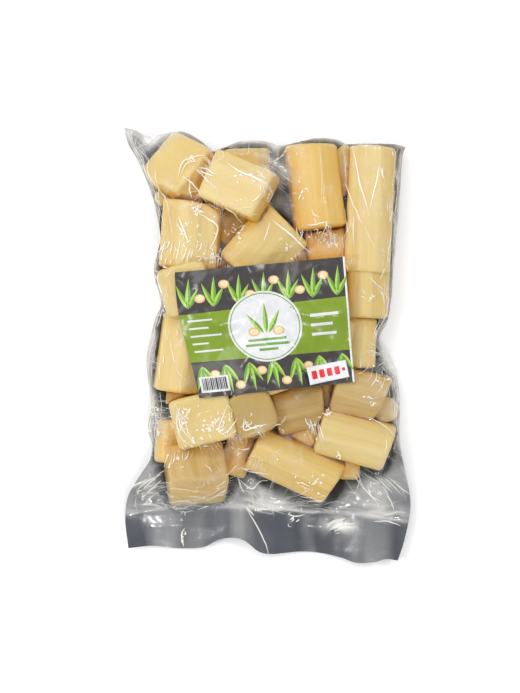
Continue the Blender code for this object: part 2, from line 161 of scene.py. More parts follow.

# Spots where small folds, drawn as painted glints, crowd: place, reach and count
CROWDS = [
    (-45, 87, 5, 16), (-54, 74, 4, 6), (-20, 74, 6, 14), (-37, 57, 8, 16), (37, 72, 8, 26), (-8, 105, 5, 5),
    (-50, 118, 5, 6), (-18, 108, 4, 5), (12, 62, 5, 6), (-37, -52, 5, 14), (-53, -46, 7, 10),
    (-12, -50, 5, 8), (-27, -47, 6, 10), (-47, -61, 3, 5), (-18, -68, 4, 6), (33, -86, 4, 7),
    (37, -44, 3, 4), (46, -71, 3, 4), (30, -56, 5, 8), (70, -94, 10, 12), (-13, -91, 6, 6),
    (-72, -57, 5, 7), (-72, -44, 4, 5), (8, -50, 4, 5), (48, -118, 8, 5), (22, 98, 5, 6), (8, 120, 8, 8),
    (-68, 50, 5, 5), (-46, -22, 3, 4), (66, -34, 5, 5), (-50, 68, 13, 12), (-44, -52, 13, 14),
    (-60, -70, 9, 8), (70, -25, 9, 8), (-66, 20, 5, 5), (68, 30, 6, 5), (17, -113, 5, 5), (-55, -109, 5, 5),
    (-56, -128, 3, 4), (-84, -100, 6, 6), (82, 8, 4, 4), (28, -100, 9, 7),
]

# Folds wider than this get the bright painted glint
BRIGHT_WIDTH = 0.65
# How many folds, drawn as painted glints, run along the crowns and the sides, fan out from a crown, cross
# slack film and follow the seam
CROWN_FOLDS = 120
SIDE_FOLDS = 150
FANS = 46
SLACK_FOLDS = 100
SEAM_FOLDS = 80

# Cane: cells of its mesh, how far it may swell upwards, its room from the pouch's rim, and its fibres' depth
CANE_CELL = 1.05
SWELL_UP = 1.4
RIM_ROOM = 1.3
FIBRE_DEPTH = 0.16
# The most short lower pieces, how high they lie, and gaps that stay dark: lowest and highest X and Y
FILLERS = 44
FILLER_HEIGHT = 10.0
DARK_GAPS = [
    (-3, 15, 84, 132), (-76, -60, -58, -32), (42, 66, -48, -37), (5, 25, -60, -47), (-62, 96, -125, -80),
]
# Each piece's own stretch of the grain's pattern
GRAIN_STEP = 60

# Label and sticker, corners from foot left anticlockwise
LABEL_CORNERS = [(-43.5, -33.6), (56.0, -23.5), (49.0, 56.5), (-59.0, 46.4)]
LABEL_SIZE = (104.0, 82.0)
LABEL_CELLS = (76, 60)
LABEL_BULGE = 3.0
LABEL_CURL = 3.0
INK_STEP = 0.06
BADGE = (50.5, 42.0)
INKS = {
    "charcoal": (0.040, 0.033, 0.032), "band": (0.185, 0.285, 0.012), "leaf_dark": (0.13, 0.30, 0.04),
    "leaf_light": (0.36, 0.56, 0.08), "tan": (0.62, 0.40, 0.20), "tan_light": (0.83, 0.63, 0.38),
    "white": (0.66, 0.67, 0.68),
}
STICKER_CORNERS = [(27.2, -25.4), (52.6, -20.2), (50.2, -9.2), (24.8, -14.0)]
STICKER_SIZE = (26.0, 11.0)
STICKER_CELLS = (20, 9)


# Meshes and pieces


def new_piece(name, verts, faces, material):
    """A mesh object on the frame's root, from points in millimetres."""
    mesh = bpy.data.meshes.new(name)
    mesh.from_pydata((np.asarray(verts) * MM).tolist(), [], [list(face) for face in faces])
    obj = bpy.data.objects.new(name, mesh)
    bpy.context.scene.collection.objects.link(obj)
    mesh.materials.append(material)
    mesh.polygons.foreach_set("use_smooth", [True] * len(mesh.polygons))
    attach(obj, "root")
    return obj


def points_of(obj):
    """An object's points in its own frame, in millimetres."""
    co = np.empty(len(obj.data.vertices) * 3)
    obj.data.vertices.foreach_get("co", co)
    return co.reshape(-1, 3) / MM


def triangles_of(obj):
    """Each triangle's three point numbers."""
    obj.data.calc_loop_triangles()
    return np.array([t.vertices for t in obj.data.loop_triangles])


def grid_faces(nu, nv, offset=0, flip=False):
    """Quads of a grid of nu by nv points numbered along v first."""
    i, j = np.meshgrid(np.arange(nu - 1), np.arange(nv - 1), indexing="ij")
    a = (i * nv + j).ravel() + offset
    quads = np.stack([a, a + nv, a + nv + 1, a + 1], axis=1)
    return quads[:, ::-1] if flip else quads


def grid_normals(points):
    """The normal at each point of a grid."""
    du = np.gradient(points, axis=0)
    dv = np.gradient(points, axis=1)
    normals = np.cross(du, dv)
    return normals / np.maximum(np.linalg.norm(normals, axis=2, keepdims=True), 1e-9)


def closed_sheet(top, thickness):
    """Points and faces of a thin closed sheet whose upper side is the grid given."""
    nu, nv = top.shape[:2]
    under = top - grid_normals(top) * thickness
    verts = np.concatenate([top.reshape(-1, 3), under.reshape(-1, 3)])
    index = np.arange(nu * nv).reshape(nu, nv)
    loop = np.concatenate([index[:-1, 0], index[-1, :-1], index[:0:-1, -1], index[0, :0:-1]])
    after = np.roll(loop, -1)
    wall = np.stack([loop, loop + nu * nv, after + nu * nv, after], axis=1)
    return verts, np.concatenate([grid_faces(nu, nv), grid_faces(nu, nv, nu * nv, flip=True), wall])


def set_attribute(obj, name, values):
    """Keeps a number at each point for a material to read."""
    attribute = obj.data.attributes.new(name, "FLOAT", "POINT")
    attribute.data.foreach_set("value", np.asarray(values, np.float32).ravel())


# Noise


def lattice_noise(x, y, scale, seed):
    """Smooth noise from -1 to 1 over a plane, from seeded values on a square lattice."""
    values = np.random.default_rng(seed).uniform(-1, 1, (256, 256))
    u, v = x / scale + 97.3, y / scale + 61.7
    i, j = np.floor(u).astype(int), np.floor(v).astype(int)
    s, t = u - i, v - j
    s, t = s * s * (3 - 2 * s), t * t * (3 - 2 * t)
    i, j = i % 255, j % 255
    near = values[i, j] * (1 - s) + values[i + 1, j] * s
    far = values[i, j + 1] * (1 - s) + values[i + 1, j + 1] * s
    return near * (1 - t) + far * t


def cloud_noise(x, y, scale, seed):
    """Lattice noise with a finer one on it."""
    return lattice_noise(x, y, scale, seed) * 0.65 + lattice_noise(x, y, scale * 0.47, seed + 1) * 0.35


def patches(x, y, scale, seed, base=0.0, gain=1.0, top=1.0):
    """Cloudy patches from 0 to this top."""
    return np.clip(base + gain * cloud_noise(x, y, scale, seed), 0, top)


def spot(x, y, at, across, up):
    """A soft round or oval spot, 1 in its middle."""
    return np.exp(-(((x - at[0]) / across) ** 2) - ((y - at[1]) / up) ** 2)


def wave_noise(places, scale, seed):
    """Smooth noise from about -1 to 1 at points in space, from a few seeded waves."""
    waves = np.random.default_rng(seed)
    total = np.zeros(len(places))
    for _ in range(9):
        direction = waves.normal(size=3)
        direction *= waves.uniform(0.5, 1.3) / np.linalg.norm(direction)
        total += np.sin(places @ direction / scale * math.tau + waves.uniform(0, math.tau))
    return total / 4.5


def blurred(field, reach, times=2):
    """A grid's values averaged over squares of 2 reach + 1 cells."""
    for _ in range(times):
        for axis in (0, 1):
            width = [(0, 0), (0, 0)]
            width[axis] = (reach + 1, reach)
            total = np.cumsum(np.pad(field, width, mode="edge"), axis=axis)
            low, high = [slice(None)] * 2, [slice(None)] * 2
            low[axis], high[axis] = slice(0, -2 * reach - 1), slice(2 * reach + 1, None)
            field = (total[tuple(high)] - total[tuple(low)]) / (2 * reach + 1)
    return field


# Materials


class Shader:
    """A new material, with short ways to add nodes. A source is another node's output or a plain value."""

    def __init__(self, name):
        self.material = bpy.data.materials.new(name)
        self.material.use_nodes = True
        self.tree = self.material.node_tree
        self.inputs = self.tree.nodes["Principled BSDF"].inputs

    def feed(self, inputs, sources):
        for key, source in sources.items():
            if isinstance(source, bpy.types.NodeSocket):
                self.tree.links.new(source, inputs[key])
            else:
                inputs[key].default_value = source

    def add(self, kind, output, sources, **settings):
        """A new node's output of this name."""
        node = self.tree.nodes.new(kind)
        for key, value in settings.items():
            setattr(node, key, value)
        self.feed(node.inputs, sources)
        return node.outputs[output]

    def place(self):
        return self.add("ShaderNodeTexCoord", "Object", {})

    def attribute(self, name, output="Fac"):
        return self.add("ShaderNodeAttribute", output, {}, attribute_name=name)

    def scaled(self, place, scale):
        return self.add("ShaderNodeMapping", "Vector", {"Vector": place, "Scale": scale})

    def noise(self, place, scale, detail, **more):
        sources = {"Vector": place, "Scale": scale, "Detail": detail, **more}
        return self.add("ShaderNodeTexNoise", "Fac", sources)

    def spread(self, source, low, high, to_low, to_high):
        return self.add("ShaderNodeMapRange", "Result", {
            "Value": source, "From Min": low, "From Max": high, "To Min": to_low, "To Max": to_high})

    def weighted_sum(self, source, weight, rest):
        """source x weight + rest."""
        return self.add("ShaderNodeMath", "Value", {0: source, 1: weight, 2: rest}, operation="MULTIPLY_ADD")

    def ramp(self, source, *stops):
        """Colours from source, by stops of a position and a colour."""
        node = self.tree.nodes.new("ShaderNodeValToRGB")
        elements = node.color_ramp.elements
        while len(elements) < len(stops):
            elements.new(0.5)
        for element, (position, colour) in zip(elements, stops):
            element.position = position
            element.color = (*colour, 1.0)
        self.feed(node.inputs, {"Fac": source})
        return node.outputs["Color"]

    def mix(self, factor, a, b, blend="MIX"):
        return self.add("ShaderNodeMix", "Result", {"Factor": factor, "A": a, "B": b},
                        data_type="RGBA", blend_type=blend)

    def bump(self, height, strength, distance):
        sources = {"Height": height, "Strength": strength, "Distance": distance}
        return self.add("ShaderNodeBump", "Normal", sources)

    def finish(self, sources):
        """Sets the material's own inputs and returns it."""
        self.feed(self.inputs, sources)
        return self.material


def cane_material(name, pale, mid, deep):
    """Peeled cane: fibres along its grain, dotted cut ends, and a painted warm shade, golden, where it faces a
    hollow.
    """
    shader = Shader(name)
    place = shader.attribute("grain_place", "Vector")
    along = shader.scaled(place, (1.0, 1.0, 0.04))
    fibres = shader.noise(along, 620.0, 3.0, Roughness=0.6)
    bands = shader.noise(along, 150.0, 3.0, Roughness=0.5)
    clouds = shader.noise(place, 45.0, 3.0, Roughness=0.5)
    side = shader.weighted_sum(fibres, 0.6, bands)
    mixed = shader.spread(shader.weighted_sum(clouds, 0.5, side), 0.66, 1.38, 0.0, 1.0)
    flank = shader.ramp(mixed, (0.0, deep), (0.32, mid), (0.85, pale))
    dots = {"Vector": shader.scaled(place, (1.0, 1.0, 0.02)), "Scale": 560.0}
    bundles = shader.ramp(shader.add("ShaderNodeTexVoronoi", "Distance", dots), (0.0, mid), (0.35, pale))
    shade = shader.ramp(clouds, (0.3, (0.86, 0.78, 0.60)), (0.65, (1.0, 1.0, 1.0)))
    cut = shader.mix(0.5, bundles, shade, "MULTIPLY")
    skin = shader.mix(shader.attribute("cut_end"), flank, cut)
    # Painted shade: a golden orange multiplied into the flesh where the piece lies deep among others, for the
    # warm shade between pieces
    painted_warm_shade = (1.30, 1.04, 0.22, 1.0)
    return shader.finish({
        "Base Color": shader.mix(shader.attribute("hollow_shade"), skin, painted_warm_shade, "MULTIPLY"),
        "Roughness": shader.spread(fibres, 0.3, 0.7, 0.36, 0.56),
        "Normal": shader.bump(side, 0.5, 0.0005),
        "Coat Weight": 0.2, "Coat Roughness": 0.3,
        "Subsurface Weight": 0.35, "Subsurface Radius": (1.0, 0.62, 0.2), "Subsurface Scale": 0.006})


def clear_film_material():
    """Clear film: all but invisible where smooth, with painted glints of milky white along its creases and a
    haze with painted sheen.
    """
    shader = Shader("clear_film")
    crinkle = shader.noise(shader.place(), 420.0, 3.0, Distortion=1.2)
    total = shader.weighted_sum(shader.attribute("crease_glint"), 0.85, shader.attribute("haze_and_sheen"))
    return shader.finish({
        "Alpha": shader.spread(total, 0.0, 1.0, 0.01, 0.95),
        "Normal": shader.bump(crinkle, 0.35, 0.0006),
        "Base Color": (0.97, 0.97, 0.95, 1.0), "Roughness": 0.10, "IOR": 1.6, "Specular IOR Level": 0.9,
        "Coat Weight": 1.0, "Coat Roughness": 0.04, "Coat IOR": 1.6})


def fold_glint_material(name, cover):
    """A painted highlight, the glint of the film where it stands up in a fold: creamy white and glossy, and
    lets a little through.
    """
    shader = Shader(name)
    clouds = shader.noise(shader.place(), 160.0, 2.0)
    return shader.finish({
        "Base Color": shader.ramp(clouds, (0.3, (0.88, 0.86, 0.79)), (0.7, (1.0, 0.98, 0.90))),
        "Alpha": cover, "Roughness": 0.2, "Coat Weight": 0.6, "Coat Roughness": 0.05})


def dark_film_material():
    """The slate-dark back film, a little cloudy in its gloss and pale along most of its rim."""
    shader = Shader("dark_film")
    clouds = shader.noise(shader.place(), 26.0, 4.0, Roughness=0.55)
    slate = shader.ramp(clouds, (0.3, (0.014, 0.019, 0.033)), (0.7, (0.040, 0.047, 0.066)))
    stretched = shader.spread(shader.attribute("pale_rim"), 0.0, 1.0, 0.0, 0.75)
    return shader.finish({
        "Base Color": shader.mix(stretched, slate, (0.50, 0.45, 0.38, 1.0)),
        "Roughness": shader.spread(clouds, 0.3, 0.7, 0.2, 0.36),
        "Coat Weight": 0.25, "Coat Roughness": 0.1})


def print_material(name, colour):
    """Coated paper, or ink on it: a faint uneven tone and a little gloss."""
    shader = Shader(name)
    grain = shader.noise(shader.place(), 300.0, 4.0)
    low, high = ([min(c * share, 1) for c in colour] for share in (0.952, 1.048))
    return shader.finish({
        "Base Color": shader.ramp(grain, (0.3, low), (0.7, high)),
        "Roughness": shader.spread(grain, 0.3, 0.7, 0.31, 0.41),
        "Specular IOR Level": 0.3, "Coat Weight": 0.55, "Coat Roughness": 0.22})


# Cane pieces

# Tints: pale, middle and deep tone of the flesh
TINTS = {
    "straw": ((0.65, 0.51, 0.215), (0.60, 0.44, 0.155), (0.50, 0.325, 0.09)),
    "pale": ((0.62, 0.48, 0.185), (0.575, 0.42, 0.135), (0.48, 0.30, 0.07)),
    "honey": ((0.63, 0.46, 0.15), (0.57, 0.39, 0.10), (0.47, 0.27, 0.05)),
    "amber": ((0.66, 0.45, 0.115), (0.62, 0.385, 0.08), (0.50, 0.265, 0.04)),
    "olive": ((0.42, 0.285, 0.07), (0.37, 0.225, 0.045), (0.28, 0.155, 0.025)),
    "tan": ((0.52, 0.375, 0.135), (0.46, 0.305, 0.09), (0.37, 0.215, 0.05)),
}

# Per piece: its tint, its section's roll about the grain in degrees, how square it is, and its swelling
LOOKS = {
    "cane_top_broad": ("amber", 4, 3.2, 1.5), "cane_top_long": ("straw", -6, 6, 2.2),
    "cane_top_left": ("straw", 12, 10, 2.2), "cane_top_block": ("straw", 0, 14, 0.4),
    "cane_top_middle": ("pale", 10, 7, 3), "cane_middle_slope": ("pale", 3, 14, 2.5),
    "cane_left_stout": ("straw", -4, 12, 2.2), "cane_left_long": ("straw", 8, 6, 2.5),
    "cane_left_label": ("pale", 15, 6, 3), "cane_low_middle": ("olive", 22, 4, 3),
    "cane_low_short": ("olive", 6, 4, 3), "cane_low_round": ("tan", 5, 3.5, 2),
    "cane_low_stout": ("pale", 14, 11, 2.5), "cane_foot_left": ("tan", 12, 12, 2),
    "cane_foot_long": ("honey", -8, 4, 1.5), "cane_foot_right": ("pale", 4, 4.5, 2),
    "cane_right_label": ("pale", 6, 6, 3), "cane_right_short": ("straw", 0, 6, 3),
    "cane_right_under": ("amber", 5, 5, 3), "cane_middle_under": ("honey", 0, 5, 3),
    "cane_low_under": ("honey", 0, 5, 3), "cane_left_under": ("straw", 0, 5, 3),
}


def flat_faces(points, faces):
    """The two flat faces with the most corners, a piece's cut ends: each one's middle, normal and offset."""
    corners = points[faces]
    normals = np.cross(corners[:, 1] - corners[:, 0], corners[:, 2] - corners[:, 0])
    areas = np.linalg.norm(normals, axis=1) / 2
    normals /= np.maximum(2 * areas[:, None], 1e-9)
    groups = []
    for k in np.flatnonzero(areas > 0.05):
        offset = normals[k] @ corners[k, 0]
        for normal, at, members in groups:
            if normal @ normals[k] > 0.9995 and abs(at - offset) < 0.25:
                members.append(k)
                break
        else:
            groups.append((normals[k], offset, [k]))

    def corner_count(group):
        return len({tuple(np.round(p, 1)) for p in corners[group[2]].reshape(-1, 3)})

    ends = []
    for normal, offset, members in sorted(groups, key=corner_count, reverse=True)[:2]:
        weight = areas[members][:, None]
        ends.append(((corners[members].mean(axis=1) * weight).sum(axis=0) / weight.sum(), normal, offset))
    return ends


def even_mesh(name, verts, faces):
    """A solid remeshed into even small cells. Points are millimetres."""
    mesh = bpy.data.meshes.new(name)
    mesh.from_pydata((verts * MM).tolist(), [], faces.tolist())
    obj = bpy.data.objects.new(name, mesh)
    bpy.context.scene.collection.objects.link(obj)
    remesh = obj.modifiers.new("even", "REMESH")
    remesh.mode = "VOXEL"
    remesh.voxel_size = CANE_CELL * MM
    even = bpy.data.meshes.new_from_object(obj.evaluated_get(bpy.context.evaluated_depsgraph_get()))
    bpy.data.objects.remove(obj)
    bpy.data.meshes.remove(mesh)
    even.name = name
    return even


def normals_of(mesh):
    """The normal at each point of a mesh."""
    normals = np.empty(len(mesh.vertices) * 3)
    mesh.update()
    mesh.vertices.foreach_get("normal", normals)
    return normals.reshape(-1, 3)


def ease(mesh):
    """Rounds a mesh's sharp edges a little."""
    edit = bmesh.new()
    edit.from_mesh(mesh)
    bmesh.ops.smooth_vert(edit, verts=edit.verts, factor=0.5, use_axis_x=True, use_axis_y=True,
                          use_axis_z=True)
    edit.to_mesh(mesh)
    edit.free()


def squared(local, along, roll, squareness, swell):
    """Places on a length of cane, its grain along Z, with its section squared off and all of it enlarged."""
    sectors = 48
    radius, angle = np.hypot(local[:, 0], local[:, 1]), np.arctan2(local[:, 1], local[:, 0])
    sector = ((angle / math.tau + 0.5) * sectors).astype(int) % sectors
    outer = np.zeros(sectors)
    np.maximum.at(outer, sector, radius)
    outer = np.maximum(outer, (np.roll(outer, 1) + np.roll(outer, -1)) / 2)
    share = np.where(np.abs(along) < 0.4, 1, np.clip(radius / outer[sector], 0, 1))
    x = radius * np.cos(angle - roll)
    y = radius * np.sin(angle - roll)
    half = np.abs(x).max() * 0.96 + swell, np.abs(y).max() * 0.96 + swell
    box = ((np.abs(np.cos(angle - roll)) / half[0]) ** squareness
           + (np.abs(np.sin(angle - roll)) / half[1]) ** squareness) ** (-1 / squareness)
    along = local[:, 2] * (1 + swell / np.abs(local[:, 2]).max())
    return np.stack([share * box * np.cos(angle), share * box * np.sin(angle), along], axis=1)


def swollen(places, moves, others, rim):
    """Places moved out to fill the room that neighbours, the pouch's rim and the surface under it leave."""
    moves = moves.copy()
    moves[:, 2] = np.minimum(moves[:, 2], SWELL_UP)
    lengths = np.linalg.norm(moves, axis=1)
    moved = places.copy()
    for k, (place, move, length) in enumerate(zip(places, moves, lengths)):
        if length < 0.02:
            continue
        way = move / length
        hit = others.ray_cast(Vector(place), Vector(way), length * 2 + 0.6)
        if hit[3] is not None:
            length = min(length, max(hit[3] / 2 - 0.15, 0))
        level = math.hypot(way[0], way[1])
        if level > 0.1:
            room = rim.find(Vector((place[0], place[1], 0)))[2] - RIM_ROOM
            length = min(length, max(room, 0) / level)
        moved[k] = place + way * length
    moved[:, 2] = np.maximum(moved[:, 2], 0.8)
    return moved


def finish_cane(obj, places, local, material, end):
    """Sets a piece's points, and keeps where each lies along and across the grain for its fibres."""
    obj.data.vertices.foreach_set("co", (places * MM).ravel())
    grain_place = obj.data.attributes.new("grain_place", "FLOAT_VECTOR", "POINT")
    grain_place.data.foreach_set("vector", (local * MM).astype(np.float32).ravel())
    obj.data.polygons.foreach_set("use_smooth", [True] * len(obj.data.polygons))
    obj.data.materials.clear()
    obj.data.materials.append(material)
    set_attribute(obj, "cut_end", end)
    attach(obj, "root")


def build_cane(name, number, tints, others, rim):
    """A knife-squared length over its CAD solid, with shallow fibre grooves and cut ends."""
    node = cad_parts[name]
    points, faces = points_of(node), triangles_of(node)
    (foot, foot_normal, foot_at), (head, head_normal, head_at) = flat_faces(points, faces)
    grain = (head - foot) / np.linalg.norm(head - foot)
    across = np.cross(grain, [0.0, 0.0, 1.0] if abs(grain[2]) < 0.9 else [1.0, 0.0, 0.0])
    across /= np.linalg.norm(across)
    turn = np.stack([across, np.cross(grain, across), grain])
    middle = (foot + head) / 2
    tint, roll, squareness, swell = LOOKS.get(name, ("pale", number * 7 % 30, 6, 3))

    mesh = even_mesh(name + "_peeled", (points - middle) @ turn.T, faces)
    obj = bpy.data.objects.new(mesh.name, mesh)
    bpy.context.scene.collection.objects.link(obj)
    ease(mesh)
    local = points_of(obj)
    world = local @ turn + middle
    end = np.clip(1.7 - np.minimum(foot_at - world @ foot_normal, head_at - world @ head_normal), 0, 1)
    moves = squared(local, normals_of(mesh)[:, 2], math.radians(roll), squareness, swell) - local
    world = swollen(world, moves @ turn, others, rim)
    mesh.vertices.foreach_set("co", (((world - middle) @ turn.T) * MM).ravel())
    local = points_of(obj)
    outward = normals_of(mesh)
    radius = np.hypot(local[:, 0], local[:, 1])
    angle = np.arctan2(local[:, 1], local[:, 0])
    ring = np.stack([np.cos(angle) * 12, np.sin(angle) * 12, local[:, 2] * 0.09], axis=1)
    grooves = wave_noise(ring, 2.3, 100 + number) * 0.6 + wave_noise(ring, 5.0, 200 + number) * 0.6
    pith = wave_noise(local * [1, 1, 0.1], 3.1, 300 + number) * 0.5
    local += outward * (np.where(end > 0.4, pith, grooves * (radius > 3)) * FIBRE_DEPTH - 0.1)[:, None]
    world = local @ turn + middle
    finish_cane(obj, world, local + [0, 0, GRAIN_STEP * number], tints[tint], end)
    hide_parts(name)
    return obj, world


def build_filler(number, centre, radius, rim_room, material, others):
    """A short lower piece seen in a gap, grown from the gap's middle until it meets its neighbours."""
    edit = bmesh.new()
    bmesh.ops.create_icosphere(edit, subdivisions=5, radius=1.0)
    mesh = bpy.data.meshes.new(f"cane_lower_{number}")
    edit.to_mesh(mesh)
    neighbours = [[e.other_vert(v).index for e in v.link_edges] for v in edit.verts]
    edit.free()
    obj = bpy.data.objects.new(mesh.name, mesh)
    bpy.context.scene.collection.objects.link(obj)
    ways = points_of(obj) * MM
    ways /= np.linalg.norm(ways, axis=1, keepdims=True)
    heading = number * 1.9
    turned = np.stack([ways[:, 0] * math.cos(heading) + ways[:, 1] * math.sin(heading),
                       ways[:, 1] * math.cos(heading) - ways[:, 0] * math.sin(heading), ways[:, 2]], axis=1)
    half = np.minimum([radius + 8, radius + 5, 8.5], 13)
    reach = (np.abs(turned / half) ** 5).sum(axis=1) ** -0.2
    reach = np.minimum(reach, (rim_room - RIM_ROOM) / np.maximum(np.hypot(ways[:, 0], ways[:, 1]), 0.1))
    for k, way in enumerate(ways):
        hit = others.ray_cast(Vector(centre), Vector(way), float(reach[k]) + 1)
        if hit[3] is not None:
            reach[k] = min(reach[k], max(hit[3] - 0.3, 0.5))
    ring = np.array([(n + n[:1])[:6] for n in neighbours])
    for _ in range(12):
        reach = np.minimum(reach, reach[ring].mean(axis=1) + 0.15)
    places = ways * reach[:, None] + centre
    places[:, 2] = np.maximum(places[:, 2], 0.8)
    local = np.stack([turned[:, 1] * reach, turned[:, 2] * reach,
                      turned[:, 0] * reach + GRAIN_STEP * number], axis=1)
    finish_cane(obj, places, local, material, np.zeros(len(places)))
    return obj, places


def gap_middles(levels, rim_distance):
    """The middles of the gaps that show between the pieces, widest first, and their radii."""
    step = 3
    coarse = levels[::step, ::step]
    x = np.arange(coarse.shape[0]) * MAP_STEP * step - MAP_HALF[0]
    y = np.arange(coarse.shape[1]) * MAP_STEP * step - MAP_HALF[1]
    x, y = np.meshgrid(x, y, indexing="ij")
    inside = rim_distance(x, y)
    solid = coarse >= 4
    closed = solid.astype(float)
    for _ in range(4):
        closed = widened(closed)
    for _ in range(4):
        closed = -widened(-closed)
    open_here = ~solid & (inside > 4) & (closed > 0.5)
    for x0, x1, y0, y1 in DARK_GAPS:
        open_here &= ~((x > x0) & (x < x1) & (y > y0) & (y < y1))
    gaps = np.stack([x[open_here], y[open_here]], axis=1)
    walls = np.stack([x[solid], y[solid]], axis=1)
    room = np.array([np.sqrt(((walls - gap) ** 2).sum(axis=1)).min() for gap in gaps])
    room = np.minimum(room, inside[open_here] - 3)
    found = []
    while len(found) < FILLERS and room.max() > 1.5:
        k = int(room.argmax())
        found.append((gaps[k], room[k], inside[open_here][k]))
        away = np.sqrt(((gaps - gaps[k]) ** 2).sum(axis=1)) - room[k] - 5
        room = np.minimum(room, away)
    return found


# Films


def through(points, shares):
    """Points at these shares of the length of a smooth curve through the given ones."""
    points = np.array(points, float)
    ends = np.vstack([2 * points[0] - points[1], points, 2 * points[-1] - points[-2]])
    lengths = np.concatenate([[0], np.cumsum(np.linalg.norm(np.diff(points, axis=0), axis=1))])
    at = np.clip(shares, 0, 1) * lengths[-1]
    k = np.clip(np.searchsorted(lengths, at, "right") - 1, 0, len(points) - 2)
    t = ((at - lengths[k]) / (lengths[k + 1] - lengths[k]))[:, None]
    a, b, c, d = ends[k], ends[k + 1], ends[k + 2], ends[k + 3]
    return 0.5 * (2 * b + (c - a) * t + (2 * a - 5 * b + 4 * c - d) * t**2 + (3 * b - a - 3 * c + d) * t**3)


def pouch_plan():
    """The films' grid in plan, blended from the pouch's four edges."""
    u, v = np.linspace(0, 1, ACROSS + 1), np.linspace(0, 1, ALONG + 1)
    left, right = through(LEFT_EDGE, v)[None], through(RIGHT_EDGE, v)[None]
    foot, head = through(FOOT_EDGE, u)[:, None], through(HEAD_EDGE, u)[:, None]
    s, t = u[:, None, None], v[None, :, None]
    corners = (1 - s) * ((1 - t) * left[:, :1] + t * left[:, -1:])
    corners = corners + s * ((1 - t) * right[:, :1] + t * right[:, -1:])
    return (1 - s) * left + s * right + (1 - t) * foot + t * head - corners + FRAME_SHIFT


def margin_height(plan):
    """How high the pouch's margin stands, with the waves of its foot."""
    x, y = plan[..., 0] - FRAME_SHIFT[0], plan[..., 1]
    foot = np.clip((FOOT_FROM - y) / (FOOT_FROM - FOOT_TO), 0, 1)
    wave = FOOT_WAVE * np.cos(math.tau * (x + 12) / FOOT_WAVE_LENGTH)
    return MARGIN_HEIGHT + foot * (FOOT_HEIGHT - MARGIN_HEIGHT + wave)


def widened(levels):
    """A height map with each cell raised to the highest of it and its neighbours."""
    shape = levels.shape
    padded = np.pad(levels, 1, constant_values=-np.inf)
    return np.max([padded[a : a + shape[0], b : b + shape[1]] for a in range(3) for b in range(3)], axis=0)


def map_cells(plan):
    """The height map's cells at points of the plan."""
    return tuple(np.clip(np.round((plan[..., k] + half) / MAP_STEP).astype(int), 0, int(2 * half / MAP_STEP))
                 for k, half in enumerate(MAP_HALF))


def raster(clouds, sign=1):
    """A height map of points: the highest (sign 1) or lowest (sign -1) in each cell, widened by one cell."""
    found = np.full(tuple(int(2 * half / MAP_STEP) + 1 for half in MAP_HALF), -np.inf)
    for cloud in clouds:
        np.maximum.at(found, map_cells(cloud[:, :2]), cloud[:, 2] * sign)
    return widened(found) * sign


def look_up(levels, plan):
    """The height map read at points of the plan."""
    return levels[map_cells(plan)]


def relax(start, low, high, draw, passes, free_rim=False):
    """A stretched sheet drawn one way, held between two limits. Its rim stays put unless free."""
    z = np.clip(start, low, high)
    for _ in range(passes):
        if free_rim:
            wide = np.pad(z, 1, mode="edge")
            mean = (wide[:-2, 1:-1] + wide[2:, 1:-1] + wide[1:-1, :-2] + wide[1:-1, 2:]) / 4
            z = np.clip(mean + draw, low, high)
        else:
            mean = (z[:-2, 1:-1] + z[2:, 1:-1] + z[1:-1, :-2] + z[1:-1, 2:]) / 4
            z[1:-1, 1:-1] = np.clip(mean + draw, low[1:-1, 1:-1], high[1:-1, 1:-1])
    return z


def downhill_streaks(height, seed):
    """Noise drawn out along the slope of the film, as gathered folds run from a crown into a hollow."""
    du, dv = np.gradient(blurred(height, 5, 2) + 0.6 * blurred(height, 14, 2))
    size = np.hypot(du, dv) + 1e-6
    du, dv = du / size, dv / size
    grain = blurred(np.random.default_rng(seed).normal(size=height.shape), 1, 1)
    total = grain.copy()
    start_i, start_j = np.meshgrid(np.arange(height.shape[0]), np.arange(height.shape[1]), indexing="ij")
    for sign in (1, -1):
        i, j = start_i.astype(float), start_j.astype(float)
        ahead_u, ahead_v = du * sign, dv * sign
        for _ in range(11):
            i = np.clip(i + ahead_u, 0, height.shape[0] - 1)
            j = np.clip(j + ahead_v, 0, height.shape[1] - 1)
            a, b = i.astype(int), j.astype(int)
            total += grain[a, b]
            keep = np.sign(ahead_u * du[a, b] + ahead_v * dv[a, b] + 1e-9)
            ahead_u, ahead_v = du[a, b] * keep, dv[a, b] * keep
    return total / total.std()


def ridge(noise, scale, width):
    """Thin ridges along the zero lines of a noise, about this wide."""
    return np.exp(-((noise * scale * 0.55 / width) ** 2))


